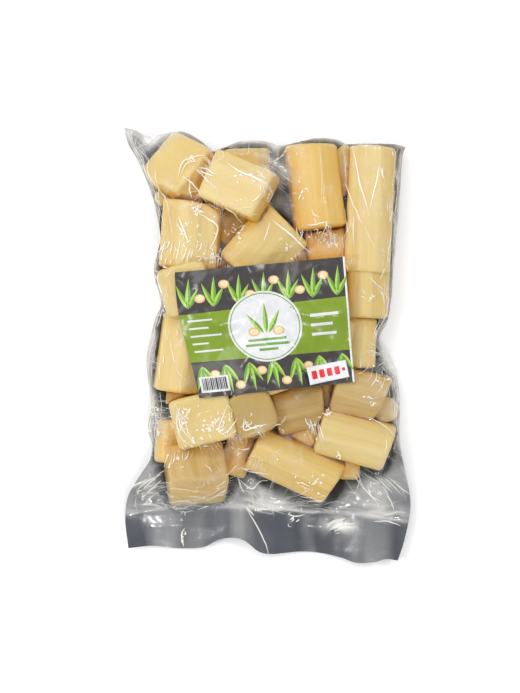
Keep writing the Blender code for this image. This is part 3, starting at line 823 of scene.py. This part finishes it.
def crinkled(points, margin):
    """The front film's wrinkles: its moved points, its painted glints along its creases, its haze with painted
    sheen, and how pale its rim.
    """
    x, y, z = points[..., 0], points[..., 1], points[..., 2]
    steps_u, steps_v = (np.minimum(np.arange(count), np.arange(count)[::-1]) for count in z.shape)
    from_rim = np.minimum(steps_u[:, None], steps_v[None, :]) * FILM_CELL

    # Zones: the band below the seam and the rest, gathers above the seam, bends, risen film and its hollows
    seam = np.interp(x, *np.transpose(SEAM_LINE)) + 1.2 * cloud_noise(x, 0 * y, 22, 11)
    band = np.clip((seam - y) / 1.5, 0, 1)
    rest = 1 - band
    inner = np.clip(from_rim / 4, 0, 1)
    gathered = np.clip(1 - (y - seam) / 14, 0, 1) * rest
    glint_blotch = spot(x, y, GLINT_BLOTCH, 11, 5)
    bend = blurred(np.clip(np.abs(z - blurred(z, 3, 1)) / 1.2, 0, 1), 2, 1)
    risen = np.clip((z - margin - 0.5) / 6, 0, 1)
    below = np.clip((blurred(z, 12, 2) - z) / 5, 0, 1) * risen
    busy = patches(x, y, 30, 21, 0.25 + 0.4 * bend + 0.4 * below, 0.8) * inner * rest + glint_blotch

    # Patterns: wide and fine wrinkles, streaks down the slopes, and the gathers' folds
    warped = [axis + 5 * cloud_noise(x, y, 17, seed) for axis, seed in ((x, 31), (y, 41))]
    wide = ridge(cloud_noise(*warped, 15, 51), 15, 1.4)
    fine = ridge(cloud_noise(*warped, 8, 61), 8, 1.0)
    streaks = downhill_streaks(z, 81)
    gathers = cloud_noise(x / 6 + 0.3 * y, y + 0.1 * x, 2.4, 161)

    # How far each point moves
    shift = 0.6 * wide * (0.3 + 0.7 * busy) + 0.4 * fine * busy
    shift += 0.18 * streaks * (0.25 + 0.75 * np.clip(bend + below, 0, 1)) * (0.3 + 0.7 * risen)
    shift += 0.5 * (1 - risen) * cloud_noise(x, y, 11, 91) * (1 - 0.6 * band) + 0.4 * gathered * gathers
    shift += 0.6 * ridge(y - seam, 1, 0.9) + band * 0.8 * cloud_noise(x, y / 5, 14, 171)
    moved = points + grid_normals(points) * (shift * inner)[..., None]

    # How creased it is, as painted glints along its creases
    crease_glint = 0.16 * wide**2 * (0.2 + busy) + 0.14 * fine**2 * busy
    crease_glint = crease_glint * patches(x, y, 10, 101, 0, 1.8, 1.4) * rest
    fans = np.clip(bend + below + 0.4 * (1 - risen) * rest, 0, 1)
    crease_glint += 0.38 * (np.clip(streaks, 0, 2.5) / 2.5) ** 2 * fans * patches(x, y, 12, 121, 0.3)
    crease_glint += 0.26 * gathered * np.clip(gathers, 0, 1) + 0.14 * ridge(y - seam, 1, 1.3)

    # How hazy it is: a faint haze of its own, with painted sheen in milky spots, on its rim, over slack film
    # and over hollows
    haze_and_sheen = 0.03 * patches(x, y, 26, 111, 0.2) + 0.12 * gathered * np.clip(0.6 + gathers, 0, 1)
    # Painted highlight: the white blotch on the foot band, patchy
    haze_and_sheen += 0.85 * glint_blotch * patches(x - 0.6 * y, y + 0.4 * x, 6, 251, 0.55 + 0.3 * wide)
    for spot_x, spot_y, size, amount in MILKY:
        haze_and_sheen += amount * spot(x, y, (spot_x, spot_y), size, size) * rest * patches(x, y, 7, 201, 0.7)
    pale_rim = np.clip(1.3 - from_rim / 6, 0, 1) * np.clip((y + 72) / 10, 0, 1)
    for spot_x, spot_y, across, up in DARK_RIM:
        pale_rim *= 1 - spot(x, y, (spot_x, spot_y), across, up)
    haze_and_sheen += 0.40 * pale_rim * patches(x, y, 9, 231, 0.7, 0.6)
    haze_and_sheen += (1 - risen) * rest * (0.14 + 0.16 * patches(x, y, 15, 211, 0.45))
    # Painted light: the film paler over the hollows between pieces, lifting their shade
    haze_and_sheen += 0.14 * below * patches(x, y, 8, 241, 0.6)
    # Painted reflection: pale bands of sheen across the band below the seam
    tones = np.interp(x + 3 * cloud_noise(x, y, 20, 181), *np.transpose(FOOT_TONES))
    haze_and_sheen += band * tones * patches(x, y / 6, 9, 191, 0.85, 0.5, 1.2)
    return moved, {"crease_glint": np.clip(crease_glint * inner, 0, 1), "haze_and_sheen": haze_and_sheen}, pale_rim


# Folds, drawn as painted glints


def on_grid(field, at):
    """A grid's values at places given in cells."""
    i = np.clip(at[..., 0], 0, field.shape[0] - 1.001)
    j = np.clip(at[..., 1], 0, field.shape[1] - 1.001)
    a, b = i.astype(int), j.astype(int)
    s, t = i - a, j - b
    if field.ndim == 3:
        s, t = s[..., None], t[..., None]
    near = field[a, b] * (1 - s) + field[a + 1, b] * s
    far = field[a, b + 1] * (1 - s) + field[a + 1, b + 1] * s
    return near * (1 - t) + far * t


def cells_at(plan, places):
    """Where places of the plan lie on the films' grid, in cells."""
    at = np.stack([np.full(places.shape[:-1], ACROSS / 2), (places[..., 1] / LENGTH + 0.5) * ALONG], axis=-1)
    for _ in range(16):
        at += (places - on_grid(plan, at)) / 0.85
    return at


def traced(at, way, curl, stride, rng, field=None, pull=0.0):
    """Lines of eleven points over the films' grid that wander, or lean along a field of directions."""
    line, turn = [at], np.zeros(len(at))
    for _ in range(10):
        turn = 0.7 * turn + curl * rng.normal(size=len(at))
        c, s = np.cos(turn), np.sin(turn)
        way = np.stack([way[:, 0] * c - way[:, 1] * s, way[:, 0] * s + way[:, 1] * c], axis=1)
        if field is not None:
            lean = on_grid(field, at)
            lean *= np.sign((lean * way).sum(axis=1, keepdims=True) + 1e-9)
            way = way * (1 - pull) + lean * pull
        way /= np.maximum(np.linalg.norm(way, axis=1, keepdims=True), 1e-6)
        at = at + way * stride[:, None]
        line.append(at)
    return np.stack(line, axis=1)


def any_ways(count, rng):
    """Directions at random."""
    turns = rng.uniform(0, math.tau, count)
    return np.stack([np.cos(turns), np.sin(turns)], axis=1)


def fold_lines(plan, points, margin):
    """The film's folds as lines on its grid with their widths, for painted glints: the bright ones and the
    faint ones.
    """
    rng = np.random.default_rng(11)
    z = points[..., 2]
    du, dv = np.gradient(blurred(z, 5, 2) + 0.6 * blurred(z, 14, 2))
    slope = np.stack([du, dv], axis=2) / np.maximum(np.hypot(du, dv), 1e-6)[..., None]
    level = np.stack([-slope[..., 1], slope[..., 0]], axis=2)
    risen = np.clip((z - margin - 0.5) / 6, 0, 1)
    crown = np.clip((z - blurred(z, 6, 2)) / 1.6, 0, 1) * risen
    patchy = np.clip(0.15 + cloud_noise(plan[..., 0], plan[..., 1], 16, 221), 0, 1)
    cells = np.stack(np.meshgrid(*map(np.arange, z.shape), indexing="ij"), axis=2).reshape(-1, 2)

    def picked(weight, count):
        weight = weight.ravel() / weight.sum()
        return cells[rng.choice(len(cells), count, p=weight)] + rng.uniform(-0.5, 0.5, (count, 2))

    bright, faint = [], []

    def keep(folds, lines, thin, thick):
        folds.append((lines, rng.uniform(thin, thick, len(lines))))

    # Folds placed one by one, and small ones crowded in spots
    for width, *line in LONG_FOLDS:
        places = through(np.reshape(line, (-1, 2)), np.linspace(0, 1, 25)) + rng.normal(size=2) * 0.3
        wander = np.cumsum(rng.normal(size=(25, 2)) * 0.12, axis=0)
        folds = bright if width > BRIGHT_WIDTH else faint
        folds.append(((cells_at(plan, places) + wander)[None], np.array([width])))
    for x, y, reach, count in CROWDS:
        at = cells_at(plan, np.array([x, y]) + rng.normal(size=(count, 2)) * reach * 0.5)
        keep(bright, traced(at, any_ways(count, rng), 0.38, rng.uniform(0.25, 0.62, count), rng), 0.4, 1.0)

    # Along the crowns of what lies under the film
    count = CROWN_FOLDS
    at, ways = picked(crown**2 * patchy, count), any_ways(count, rng)
    edge = traced(at, ways, 0.10, rng.uniform(0.4, 1.1, count), rng, level, 0.45)
    keep(bright, edge[: count // 2], 0.4, 0.8)
    keep(faint, edge[count // 2 :], 0.4, 0.8)

    for start, stop, heading, length, count in COMBS:
        shares = np.linspace(0, 1, count)[:, None] + rng.normal(size=(count, 1)) * 0.02
        at = cells_at(plan, np.array(start) * (1 - shares) + np.array(stop) * shares)
        heading = math.radians(heading)
        ways = np.array([math.cos(heading), math.sin(heading)]) + rng.normal(size=(count, 2)) * 0.08
        lines = traced(at, ways, 0.05, length / 8 * rng.uniform(0.6, 1.1, count), rng)
        keep(bright, lines[::2], 0.35, 0.75)
        keep(faint, lines[1::2], 0.4, 0.9)

    # Lengthwise beside the two long sides
    count = SIDE_FOLDS
    sides = np.where(rng.random(count) < 0.5, 0, 1)
    across = np.abs(rng.normal(size=count)) * 5 + 1.5
    at = np.stack([np.where(sides, ACROSS - across, across), rng.uniform(0.25, 0.96, count) * ALONG], axis=1)
    hems = traced(at, np.tile([0.0, 1.0], (count, 1)), 0.03, rng.uniform(0.8, 2.4, count), rng)
    hems[..., 0] = np.clip(hems[..., 0], 1.5, ACROSS - 1.5)
    hems[..., 1] = np.minimum(hems[..., 1], ALONG - 1.5)
    keep(bright, hems[: count // 3], 0.35, 0.7)
    keep(faint, hems[count // 3 :], 0.4, 1.0)

    # Fans of fine folds, from a crown down its slope
    heads = picked(crown * patchy, FANS)
    step = on_grid(level, heads)[:, None] * (np.arange(7) - 3)[None, :, None]
    starts = (heads[:, None] + step * rng.uniform(1.2, 2.6, (FANS, 1, 1))).reshape(-1, 2)
    starts += rng.normal(size=starts.shape) * 0.4
    down = -on_grid(slope, starts)
    keep(faint, traced(starts, down, 0.03, rng.uniform(0.5, 1.1, len(starts)), rng, slope, 0.3), 0.3, 0.65)

    # Across slack film, and along the seam
    count = SLACK_FOLDS
    low = (1 - risen) * (plan[..., 1] > -100) * patchy
    low[:4], low[-4:], low[:, -4:] = 0, 0, 0
    at, ways = picked(low, count), any_ways(count, rng)
    pulls = traced(at, ways, 0.03, rng.uniform(0.8, 1.9, count), rng, slope, 0.5)
    keep(faint, pulls, 0.4, 0.9)
    count = SEAM_FOLDS
    along = rng.uniform(-86, 84, count)
    rise = np.interp(along, *np.transpose(SEAM_LINE)) + np.abs(rng.normal(size=count)) * 6 + 0.5
    at = cells_at(plan, np.stack([along, rise], axis=1))
    ways = np.tile([1.0, 0.1], (count, 1))
    keep(faint, traced(at, ways, 0.05, rng.uniform(0.9, 2.2, count), rng), 0.5, 1.2)
    return bright, faint


def fold_piece(name, points, groups, material):
    """Slender raised strips along lines on the film's grid, tapering to both ends, that carry painted glints.
    """
    normals = grid_normals(points)
    verts, faces, count = [], [], 0
    for lines, widths in groups:
        middle, up = on_grid(points, lines), on_grid(normals, lines)
        side = np.cross(np.gradient(middle, axis=1), up)
        side /= np.maximum(np.linalg.norm(side, axis=2, keepdims=True), 1e-9)
        taper = np.sin(np.linspace(0.1, math.pi - 0.1, lines.shape[1])) ** 0.7
        reach = side * (widths[:, None] * taper)[..., None] / 2
        strips = np.stack([middle - reach + up * 0.08, middle + up * 0.3, middle + reach + up * 0.08], axis=2)
        starts = count + np.arange(len(lines)) * lines.shape[1] * 3
        faces.append((grid_faces(lines.shape[1], 3)[None] + starts[:, None, None]).reshape(-1, 4))
        verts.append(strips.reshape(-1, 3))
        count += strips.size // 3
    new_piece(name, np.concatenate(verts), np.concatenate(faces), material)


# Label and sticker


def sheet_plan(corners, cells):
    """A paper's grid in plan, between its four corners."""
    u, v = np.linspace(0, 1, cells[0] + 1)[:, None, None], np.linspace(0, 1, cells[1] + 1)[None, :, None]
    foot_left, foot_right, head_right, head_left = (np.array(c, float) for c in corners)
    foot = (1 - u) * (1 - v) * foot_left + u * (1 - v) * foot_right
    return foot + u * v * head_right + (1 - u) * v * head_left


def draped(plan, levels, clearance, passes):
    """A stiff paper's grid over a height map."""
    floor = look_up(levels, plan) + clearance
    z = relax(floor, floor, np.full_like(floor, np.inf), -0.01, passes, free_rim=True)
    return np.concatenate([plan, z[..., None]], axis=2)


def lay_shapes(name, points, size, shapes, lift, material):
    """Flat convex outlines, in millimetres on a paper's grid, cut along the grid and laid on its face."""
    nu, nv = points.shape[:2]
    edit = bmesh.new()
    for shape in shapes:
        edit.faces.new([edit.verts.new((px, py, 0)) for px, py in shape])
    for axis, count in ((0, nu), (1, nv)):
        normal = (1, 0, 0) if axis == 0 else (0, 1, 0)
        for k in range(1, count - 1):
            at = [0, 0, 0]
            at[axis] = k / (count - 1) * size[axis]
            bmesh.ops.bisect_plane(edit, geom=edit.verts[:] + edit.edges[:] + edit.faces[:], dist=1e-5,
                                   plane_co=at, plane_no=normal)
    edit.verts.index_update()
    flat = np.array([v.co[:2] for v in edit.verts])
    faces = [[v.index for v in face.verts] for face in edit.faces]
    edit.free()
    a = np.clip(flat[:, 0] / size[0], 0, 1) * (nu - 1)
    b = np.clip(flat[:, 1] / size[1], 0, 1) * (nv - 1)
    i, j = np.minimum(a.astype(int), nu - 2), np.minimum(b.astype(int), nv - 2)
    s, t = (a - i)[:, None], (b - j)[:, None]
    raised = points + grid_normals(points) * lift
    laid = (1 - s) * (1 - t) * raised[i, j] + s * (1 - t) * raised[i + 1, j]
    laid += s * t * raised[i + 1, j + 1] + (1 - s) * t * raised[i, j + 1]
    new_piece(name, laid, faces, material)


def box_shape(x0, y0, x1, y1):
    return [(x0, y0), (x1, y0), (x1, y1), (x0, y1)]


def disc_shape(x, y, radius, corners=28, squash=1.0):
    turns = np.linspace(0, math.tau, corners, endpoint=False)
    return [(x + radius * math.cos(a), y + radius * squash * math.sin(a)) for a in turns]


def blade_halves(x, y, length, width, heading):
    """The two halves of a slender leaf blade from its base, heading in degrees."""
    along = np.linspace(0, 1, 9)
    wide = width * np.sin(math.pi * along**0.8) * (1 - 0.25 * along)
    ux, uy = math.cos(math.radians(heading)), math.sin(math.radians(heading))

    def at(k, side):
        px = x + ux * length * along[k] - uy * side * wide[k]
        py = y + uy * length * along[k] + ux * side * wide[k]
        return px, py

    ends = [(x, y), (x + ux * length, y + uy * length)]
    left = [ends[0], ends[1]] + [at(k, 0.5) for k in range(7, 0, -1)]
    right = [ends[0]] + [at(k, -0.5) for k in range(1, 8)] + [ends[1]]
    return left, right


def rounded_box(x0, y0, x1, y1, radius):
    outline = []
    for cx, cy, start in ((x1 - radius, y1 - radius, 0), (x0 + radius, y1 - radius, 90),
                          (x0 + radius, y0 + radius, 180), (x1 - radius, y0 + radius, 270)):
        for k in range(6):
            a = math.radians(start + 18 * k)
            outline.append((cx + radius * math.cos(a), cy + radius * math.sin(a)))
    return outline


def label_shapes():
    """The label's shapes by ink: two rows of leaf sprigs and discs, a band, text bars and a bar patch."""
    width, height = LABEL_SIZE
    shapes = {"charcoal": [box_shape(0, 0, width - 1.3, height)],
              "band": [[(0, 23), (width - 1.3, 21.5), (width - 1.3, 56.5), (0, 54)]],
              "leaf_dark": [], "leaf_light": [], "tan": [], "tan_light": [], "white": [], "bars": []}
    for base, way in ((57.5, 1), (20.0, -1)):
        for k in range(7):
            at = 6 + k * 15.2
            for lean, length in ((-30, 15), (-6, 20), (20, 17)):
                room = (height - 1 - base) if way > 0 else base - 1
                left, right = blade_halves(at, base, min(length, room), 3.4, (90 + lean) * way)
                shapes["leaf_light"].append(left)
                shapes["leaf_dark"].append(right)
            if k < 6:
                rise = base + way * (14 if k % 2 else 6)
                shapes["tan"].append(disc_shape(at + 7.6, rise, 3.3, 24, 0.85))
                shapes["tan_light"].append(disc_shape(at + 7.8, rise + 0.2, 2.3, 24, 0.85))
    for k, span in enumerate((15, 12, 19, 10, 18)):
        shapes["white"].append(box_shape(4, 49.0 - 5.0 * k, 4 + span, 50.2 - 5.0 * k))
    for k, span in enumerate((18, 14, 16)):
        shapes["white"].append(box_shape(79, 45.3 - 6.2 * k, 79 + span, 47.2 - 6.2 * k))
    shapes["white"].append(box_shape(2.5, 3.0, 21.5, 13.0))
    at = 4.2
    for wide in (0.6, 0.4, 1.0, 0.5, 0.4, 0.9, 0.6, 0.4, 1.1, 0.5, 0.8, 0.4, 0.6, 1.0):
        shapes["bars"].append(box_shape(at, 4.4, at + wide, 12.0))
        at += wide + 0.5
    return shapes


def build_label(film_levels):
    """The draped label, with a raised curl at its head left corner."""
    plan = sheet_plan(LABEL_CORNERS, LABEL_CELLS)
    u, v = np.linspace(0, 1, LABEL_CELLS[0] + 1)[:, None], np.linspace(0, 1, LABEL_CELLS[1] + 1)[None, :]
    plan[..., 0] -= LABEL_BULGE * (1 - u) ** 3 * np.sin(math.pi * v**1.5)
    points = draped(plan, film_levels, 0.35, 260)
    x, y = points[..., 0], points[..., 1]
    points[..., 2] += 1.2 * ridge(cloud_noise(x + 0.5 * y, y, 24, 131), 24, 3.4)
    creases = ridge(cloud_noise(x, y - 0.4 * x, 14, 141), 14, 2.4)
    points[..., 2] += 0.5 * creases + 0.3 * cloud_noise(x, y, 9, 151)
    from_corner = np.hypot(u * LABEL_SIZE[0], (1 - v) * LABEL_SIZE[1])
    points[..., 2] += LABEL_CURL * np.clip(1 - from_corner / 15, 0, 1) ** 2
    verts, faces = closed_sheet(points, 0.2)
    white = print_material("label_white", (0.80, 0.80, 0.80))
    label = new_piece("label_paper", verts, faces, white)
    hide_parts("label")

    inks = {name: print_material("ink_" + name, tone) for name, tone in INKS.items()}
    shapes = label_shapes()
    x, y = BADGE
    sprig = [blade_halves(x + 1.5 * lean / 30, y - 4.5, length, 3.4, 90 - lean)
             for lean, length in ((-34, 16), (2, 20), (30, 17))]
    slices = [(x - 7.5, y - 3.0), (x + 7.8, y - 3.4)]
    lines = [box_shape(x - w, y - 9.4 - 3.2 * k, x + w, y - 7.8 - 3.2 * k) for k, w in enumerate((12, 14, 6))]
    layers = [
        ("charcoal", "charcoal", shapes["charcoal"], 1), ("band", "band", shapes["band"], 2),
        ("leaf_light", "leaf_light", shapes["leaf_light"], 2),
        ("leaf_dark", "leaf_dark", shapes["leaf_dark"], 2),
        ("disc_rind", "tan", shapes["tan"], 3), ("disc_flesh", "tan_light", shapes["tan_light"], 4),
        ("white", "white", shapes["white"] + [disc_shape(*BADGE, 23.0, 72)], 4),
        ("ring", "leaf_dark", [disc_shape(*BADGE, 21.8, 72)], 5),
        ("badge", "white", [disc_shape(*BADGE, 21.2, 72)], 6), ("bar_patch", "charcoal", shapes["bars"], 6),
        ("slice_rind", "tan", [disc_shape(*at, 3.6, 24, 0.8) for at in slices], 7),
        ("slice_flesh", "tan_light", [disc_shape(*at, 2.7, 24, 0.8) for at in slices], 8),
        ("sprig_light", "leaf_light", [left for left, _ in sprig], 7),
        ("sprig_dark", "leaf_dark", [right for _, right in sprig] + lines, 7),
    ]
    for name, ink, outlines, level in layers:
        lay_shapes("label_" + name, points, LABEL_SIZE, outlines, INK_STEP * level, inks[ink])
    return points


def build_sticker(label_points):
    """The sticker, draped over the label."""
    levels = widened(raster([label_points.reshape(-1, 3)]))
    points = draped(sheet_plan(STICKER_CORNERS, STICKER_CELLS), levels, 0.65, 60)
    verts, faces = closed_sheet(points, 0.25)
    white = print_material("sticker_white", (0.74, 0.74, 0.75))
    sticker = new_piece("price_sticker_paper", verts, faces, white)
    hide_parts("price_sticker")
    shapes = [rounded_box(2.4 + 5.0 * k, 3.0, 5.8 + 5.0 * k, 8.0, 0.7) for k in range(4)]
    shapes.append(rounded_box(22.4, 4.6, 24.4, 6.6, 0.5))
    red = print_material("ink_red", (0.70, 0.02, 0.03))
    lay_shapes("sticker_bars", points, STICKER_SIZE, shapes, 0.08, red)


# Stage, light and camera


def area_light(name, at, size, power):
    """A light that faces the origin."""
    data = bpy.data.lights.new(name, "AREA")
    data.shape = "RECTANGLE"
    data.size, data.size_y = size
    data.energy = power
    obj = bpy.data.objects.new(name, data)
    obj.location = at
    obj.rotation_euler = (-Vector(at)).to_track_quat("-Z", "Y").to_euler()
    bpy.context.scene.collection.objects.link(obj)


def build_stage():
    """A plain pale floor, an even white surround, one soft light and three small ones for glints."""
    mesh = bpy.data.meshes.new("floor")
    half = 1.6
    corners = [(-half, -half, 0), (half, -half, 0), (half, half, 0), (-half, half, 0)]
    mesh.from_pydata(corners, [], [(0, 1, 2, 3)])
    floor = bpy.data.objects.new("floor", mesh)
    bpy.context.scene.collection.objects.link(floor)
    white = (1.0, 1.0, 1.0, 1.0)
    mesh.materials.append(Shader("floor").finish({
        "Base Color": (0.96, 0.96, 0.96, 1.0), "Roughness": 0.9, "Specular IOR Level": 0.1,
        "Emission Color": white, "Emission Strength": 0.10}))

    world = bpy.data.worlds.new("studio")
    world.use_nodes = True
    sky = world.node_tree.nodes["Background"].inputs
    sky["Color"].default_value = white
    sky["Strength"].default_value = 0.6
    bpy.context.scene.world = world
    bpy.context.scene.view_settings.view_transform = "Standard"
    area_light("soft_key", (-0.45, 0.55, 1.00), (0.9, 0.7), 6.2)
    glints = {"left": (-0.60, -0.10, 0.85), "right": (0.50, 0.25, 0.95), "foot": (0.10, -0.60, 0.85)}
    for side, at in glints.items():
        area_light("glint_" + side, at, (0.09, 0.09), 1.8)


def build_camera():
    """A camera straight above the pouch, a metre over its margin, as wide in view as the photo."""
    data = bpy.data.cameras.new("camera")
    distance = 1.0
    wide = 0.4574
    data.sensor_width = 36.0
    data.lens = data.sensor_width * distance / wide
    camera = bpy.data.objects.new("camera", data)
    camera.location = (-0.0049, -0.0007, distance + MARGIN_HEIGHT * MM)
    bpy.context.scene.collection.objects.link(camera)
    bpy.context.scene.camera = camera


# The pouch


def tree_of(parts):
    """A search tree over several solids' triangles, each given as points and triangles."""
    verts, faces, count = [], [], 0
    for points, triangles in parts:
        verts.append(points)
        faces.append(triangles + count)
        count += len(points)
    return BVHTree.FromPolygons(np.concatenate(verts).tolist(), np.concatenate(faces).tolist())


def rim_of(plan):
    """A search tree over the pouch's outline."""
    edge = np.concatenate([plan[0], plan[-1], plan[:, 0], plan[:, -1]])
    rim = KDTree(len(edge))
    for k, (x, y) in enumerate(edge):
        rim.insert((x, y, 0), k)
    rim.balance()
    return rim


def build_canes(plan):
    """Every length of cane with its points, and how much painted warm shade each may take where it lies deep.
    """
    rim = rim_of(plan)
    tints = {name: cane_material("cane_" + name, *tones) for name, tones in TINTS.items()}
    names = sorted(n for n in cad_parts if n.startswith("cane"))
    solids = {name: (points_of(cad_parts[name]), triangles_of(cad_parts[name])) for name in names}
    canes = []
    for number, name in enumerate(names):
        others = tree_of([solids[other] for other in names if other != name])
        canes.append(build_cane(name, number, tints, others, rim))

    levels = raster([cloud for _, cloud in canes])
    covered = np.zeros(levels.shape)
    covered[map_cells(plan)] = 1
    covered = blurred(covered, 1, 1) > 0.3

    def rim_distance(x, y):
        flat = [rim.find(Vector((a, b, 0)))[2] for a, b in zip(x.ravel(), y.ravel())]
        return np.where(look_up(covered, np.stack([x, y], axis=-1)), np.reshape(flat, x.shape), 0)

    shaded = [1.0] * len(canes)
    full = tree_of([(cloud, triangles_of(obj)) for obj, cloud in canes])
    for number, (gap, radius, rim_room) in enumerate(gap_middles(levels, rim_distance)):
        centre = np.array([gap[0], gap[1], FILLER_HEIGHT])
        tint = tints["pale" if rim_room < 15 else "honey"]
        canes.append(build_filler(number, centre, radius, rim_room, tint, full))
        shaded.append(0.2 if rim_room < 15 else 1.0)
    return canes, shaded


def build_films(plan, tops, unders):
    """The two films drawn over and under what fills them, and the front film's folds as painted glints;
    returns its points.
    """
    margin = margin_height(plan)
    back_limit = np.maximum(np.minimum(look_up(unders, plan) - FILM_GAP, margin), LOWEST)
    back = relax(back_limit, np.full_like(margin, LOWEST), back_limit, 0.02, 1500)
    floor = np.maximum(look_up(tops, plan), back) + FILM_GAP
    for edge in RIM_CELLS:
        floor[edge] = back[edge] + FILM_GAP
    start = np.maximum(blurred(floor, 6, 2), floor)
    for edge in RIM_CELLS:
        start[edge] = floor[edge]
    stretched = relax(start, floor, np.full_like(floor, np.inf), FILM_DRAW, 1600)
    points, looks, pale_rim = crinkled(np.concatenate([plan, stretched[..., None]], axis=2), margin)
    close = np.clip(1 - (stretched - back - FILM_GAP) / 3, 0, 1)
    back += close * np.minimum(points[..., 2] - stretched, 3)
    back = np.maximum(np.minimum(back, points[..., 2] - FILM_GAP * 0.8), 0.05)
    back_points = np.concatenate([points[..., :2], back[..., None]], axis=2)[::2, ::2]

    film_front = new_piece("film_front_clear", points.reshape(-1, 3), grid_faces(*plan.shape[:2]),
                           clear_film_material())
    for name, values in looks.items():
        set_attribute(film_front, name, values)
    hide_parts("film_front")
    film_back = new_piece("film_back_dark", back_points.reshape(-1, 3), grid_faces(*back_points.shape[:2]),
                          dark_film_material())
    set_attribute(film_back, "pale_rim", pale_rim[::2, ::2])
    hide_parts("film_back")
    bright, faint = fold_lines(plan, points, margin)
    fold_piece("film_fold_glints_bright", points, bright, fold_glint_material("film_fold_glint_bright", 0.76))
    fold_piece("film_fold_glints_faint", points, faint, fold_glint_material("film_fold_glint_faint", 0.32))
    return points


def painted_shade_share(obj, cloud, envelope, crowded):
    """How much painted warm shade each point of a length takes: where it lies deep, or on a side that faces a
    hollow.
    """
    below = look_up(envelope, cloud[:, :2]) - cloud[:, 2]
    facing = np.clip(normals_of(obj.data)[:, 2], 0, 1)
    depth = np.clip((below - 5) / 13, 0, 1) * (1 - 0.5 * facing)
    flank = np.clip((below - 1) / 7, 0, 1) * (1 - facing)
    return np.maximum(depth, flank) * look_up(crowded, cloud[:, :2])


def main():
    build_camera()
    build_stage()
    plan = pouch_plan()
    canes, shaded = build_canes(plan)
    clouds = [cloud for _, cloud in canes]
    tops = raster(clouds)
    points = build_films(plan, tops, raster(clouds, -1))

    envelope = np.where(np.isfinite(tops), tops, 0)
    crowded = np.clip((blurred((envelope > 3).astype(float), 9, 2) - 0.6) / 0.25, 0, 1)
    for _ in range(11):
        envelope = widened(envelope)
    envelope = blurred(envelope, 8, 2)
    # Painted warm shade on each length where it lies deep among the others
    for (obj, cloud), share in zip(canes, shaded):
        set_attribute(obj, "hollow_shade", painted_shade_share(obj, cloud, envelope, crowded) * share)
    build_sticker(build_label(raster([points.reshape(-1, 3)])))


main()
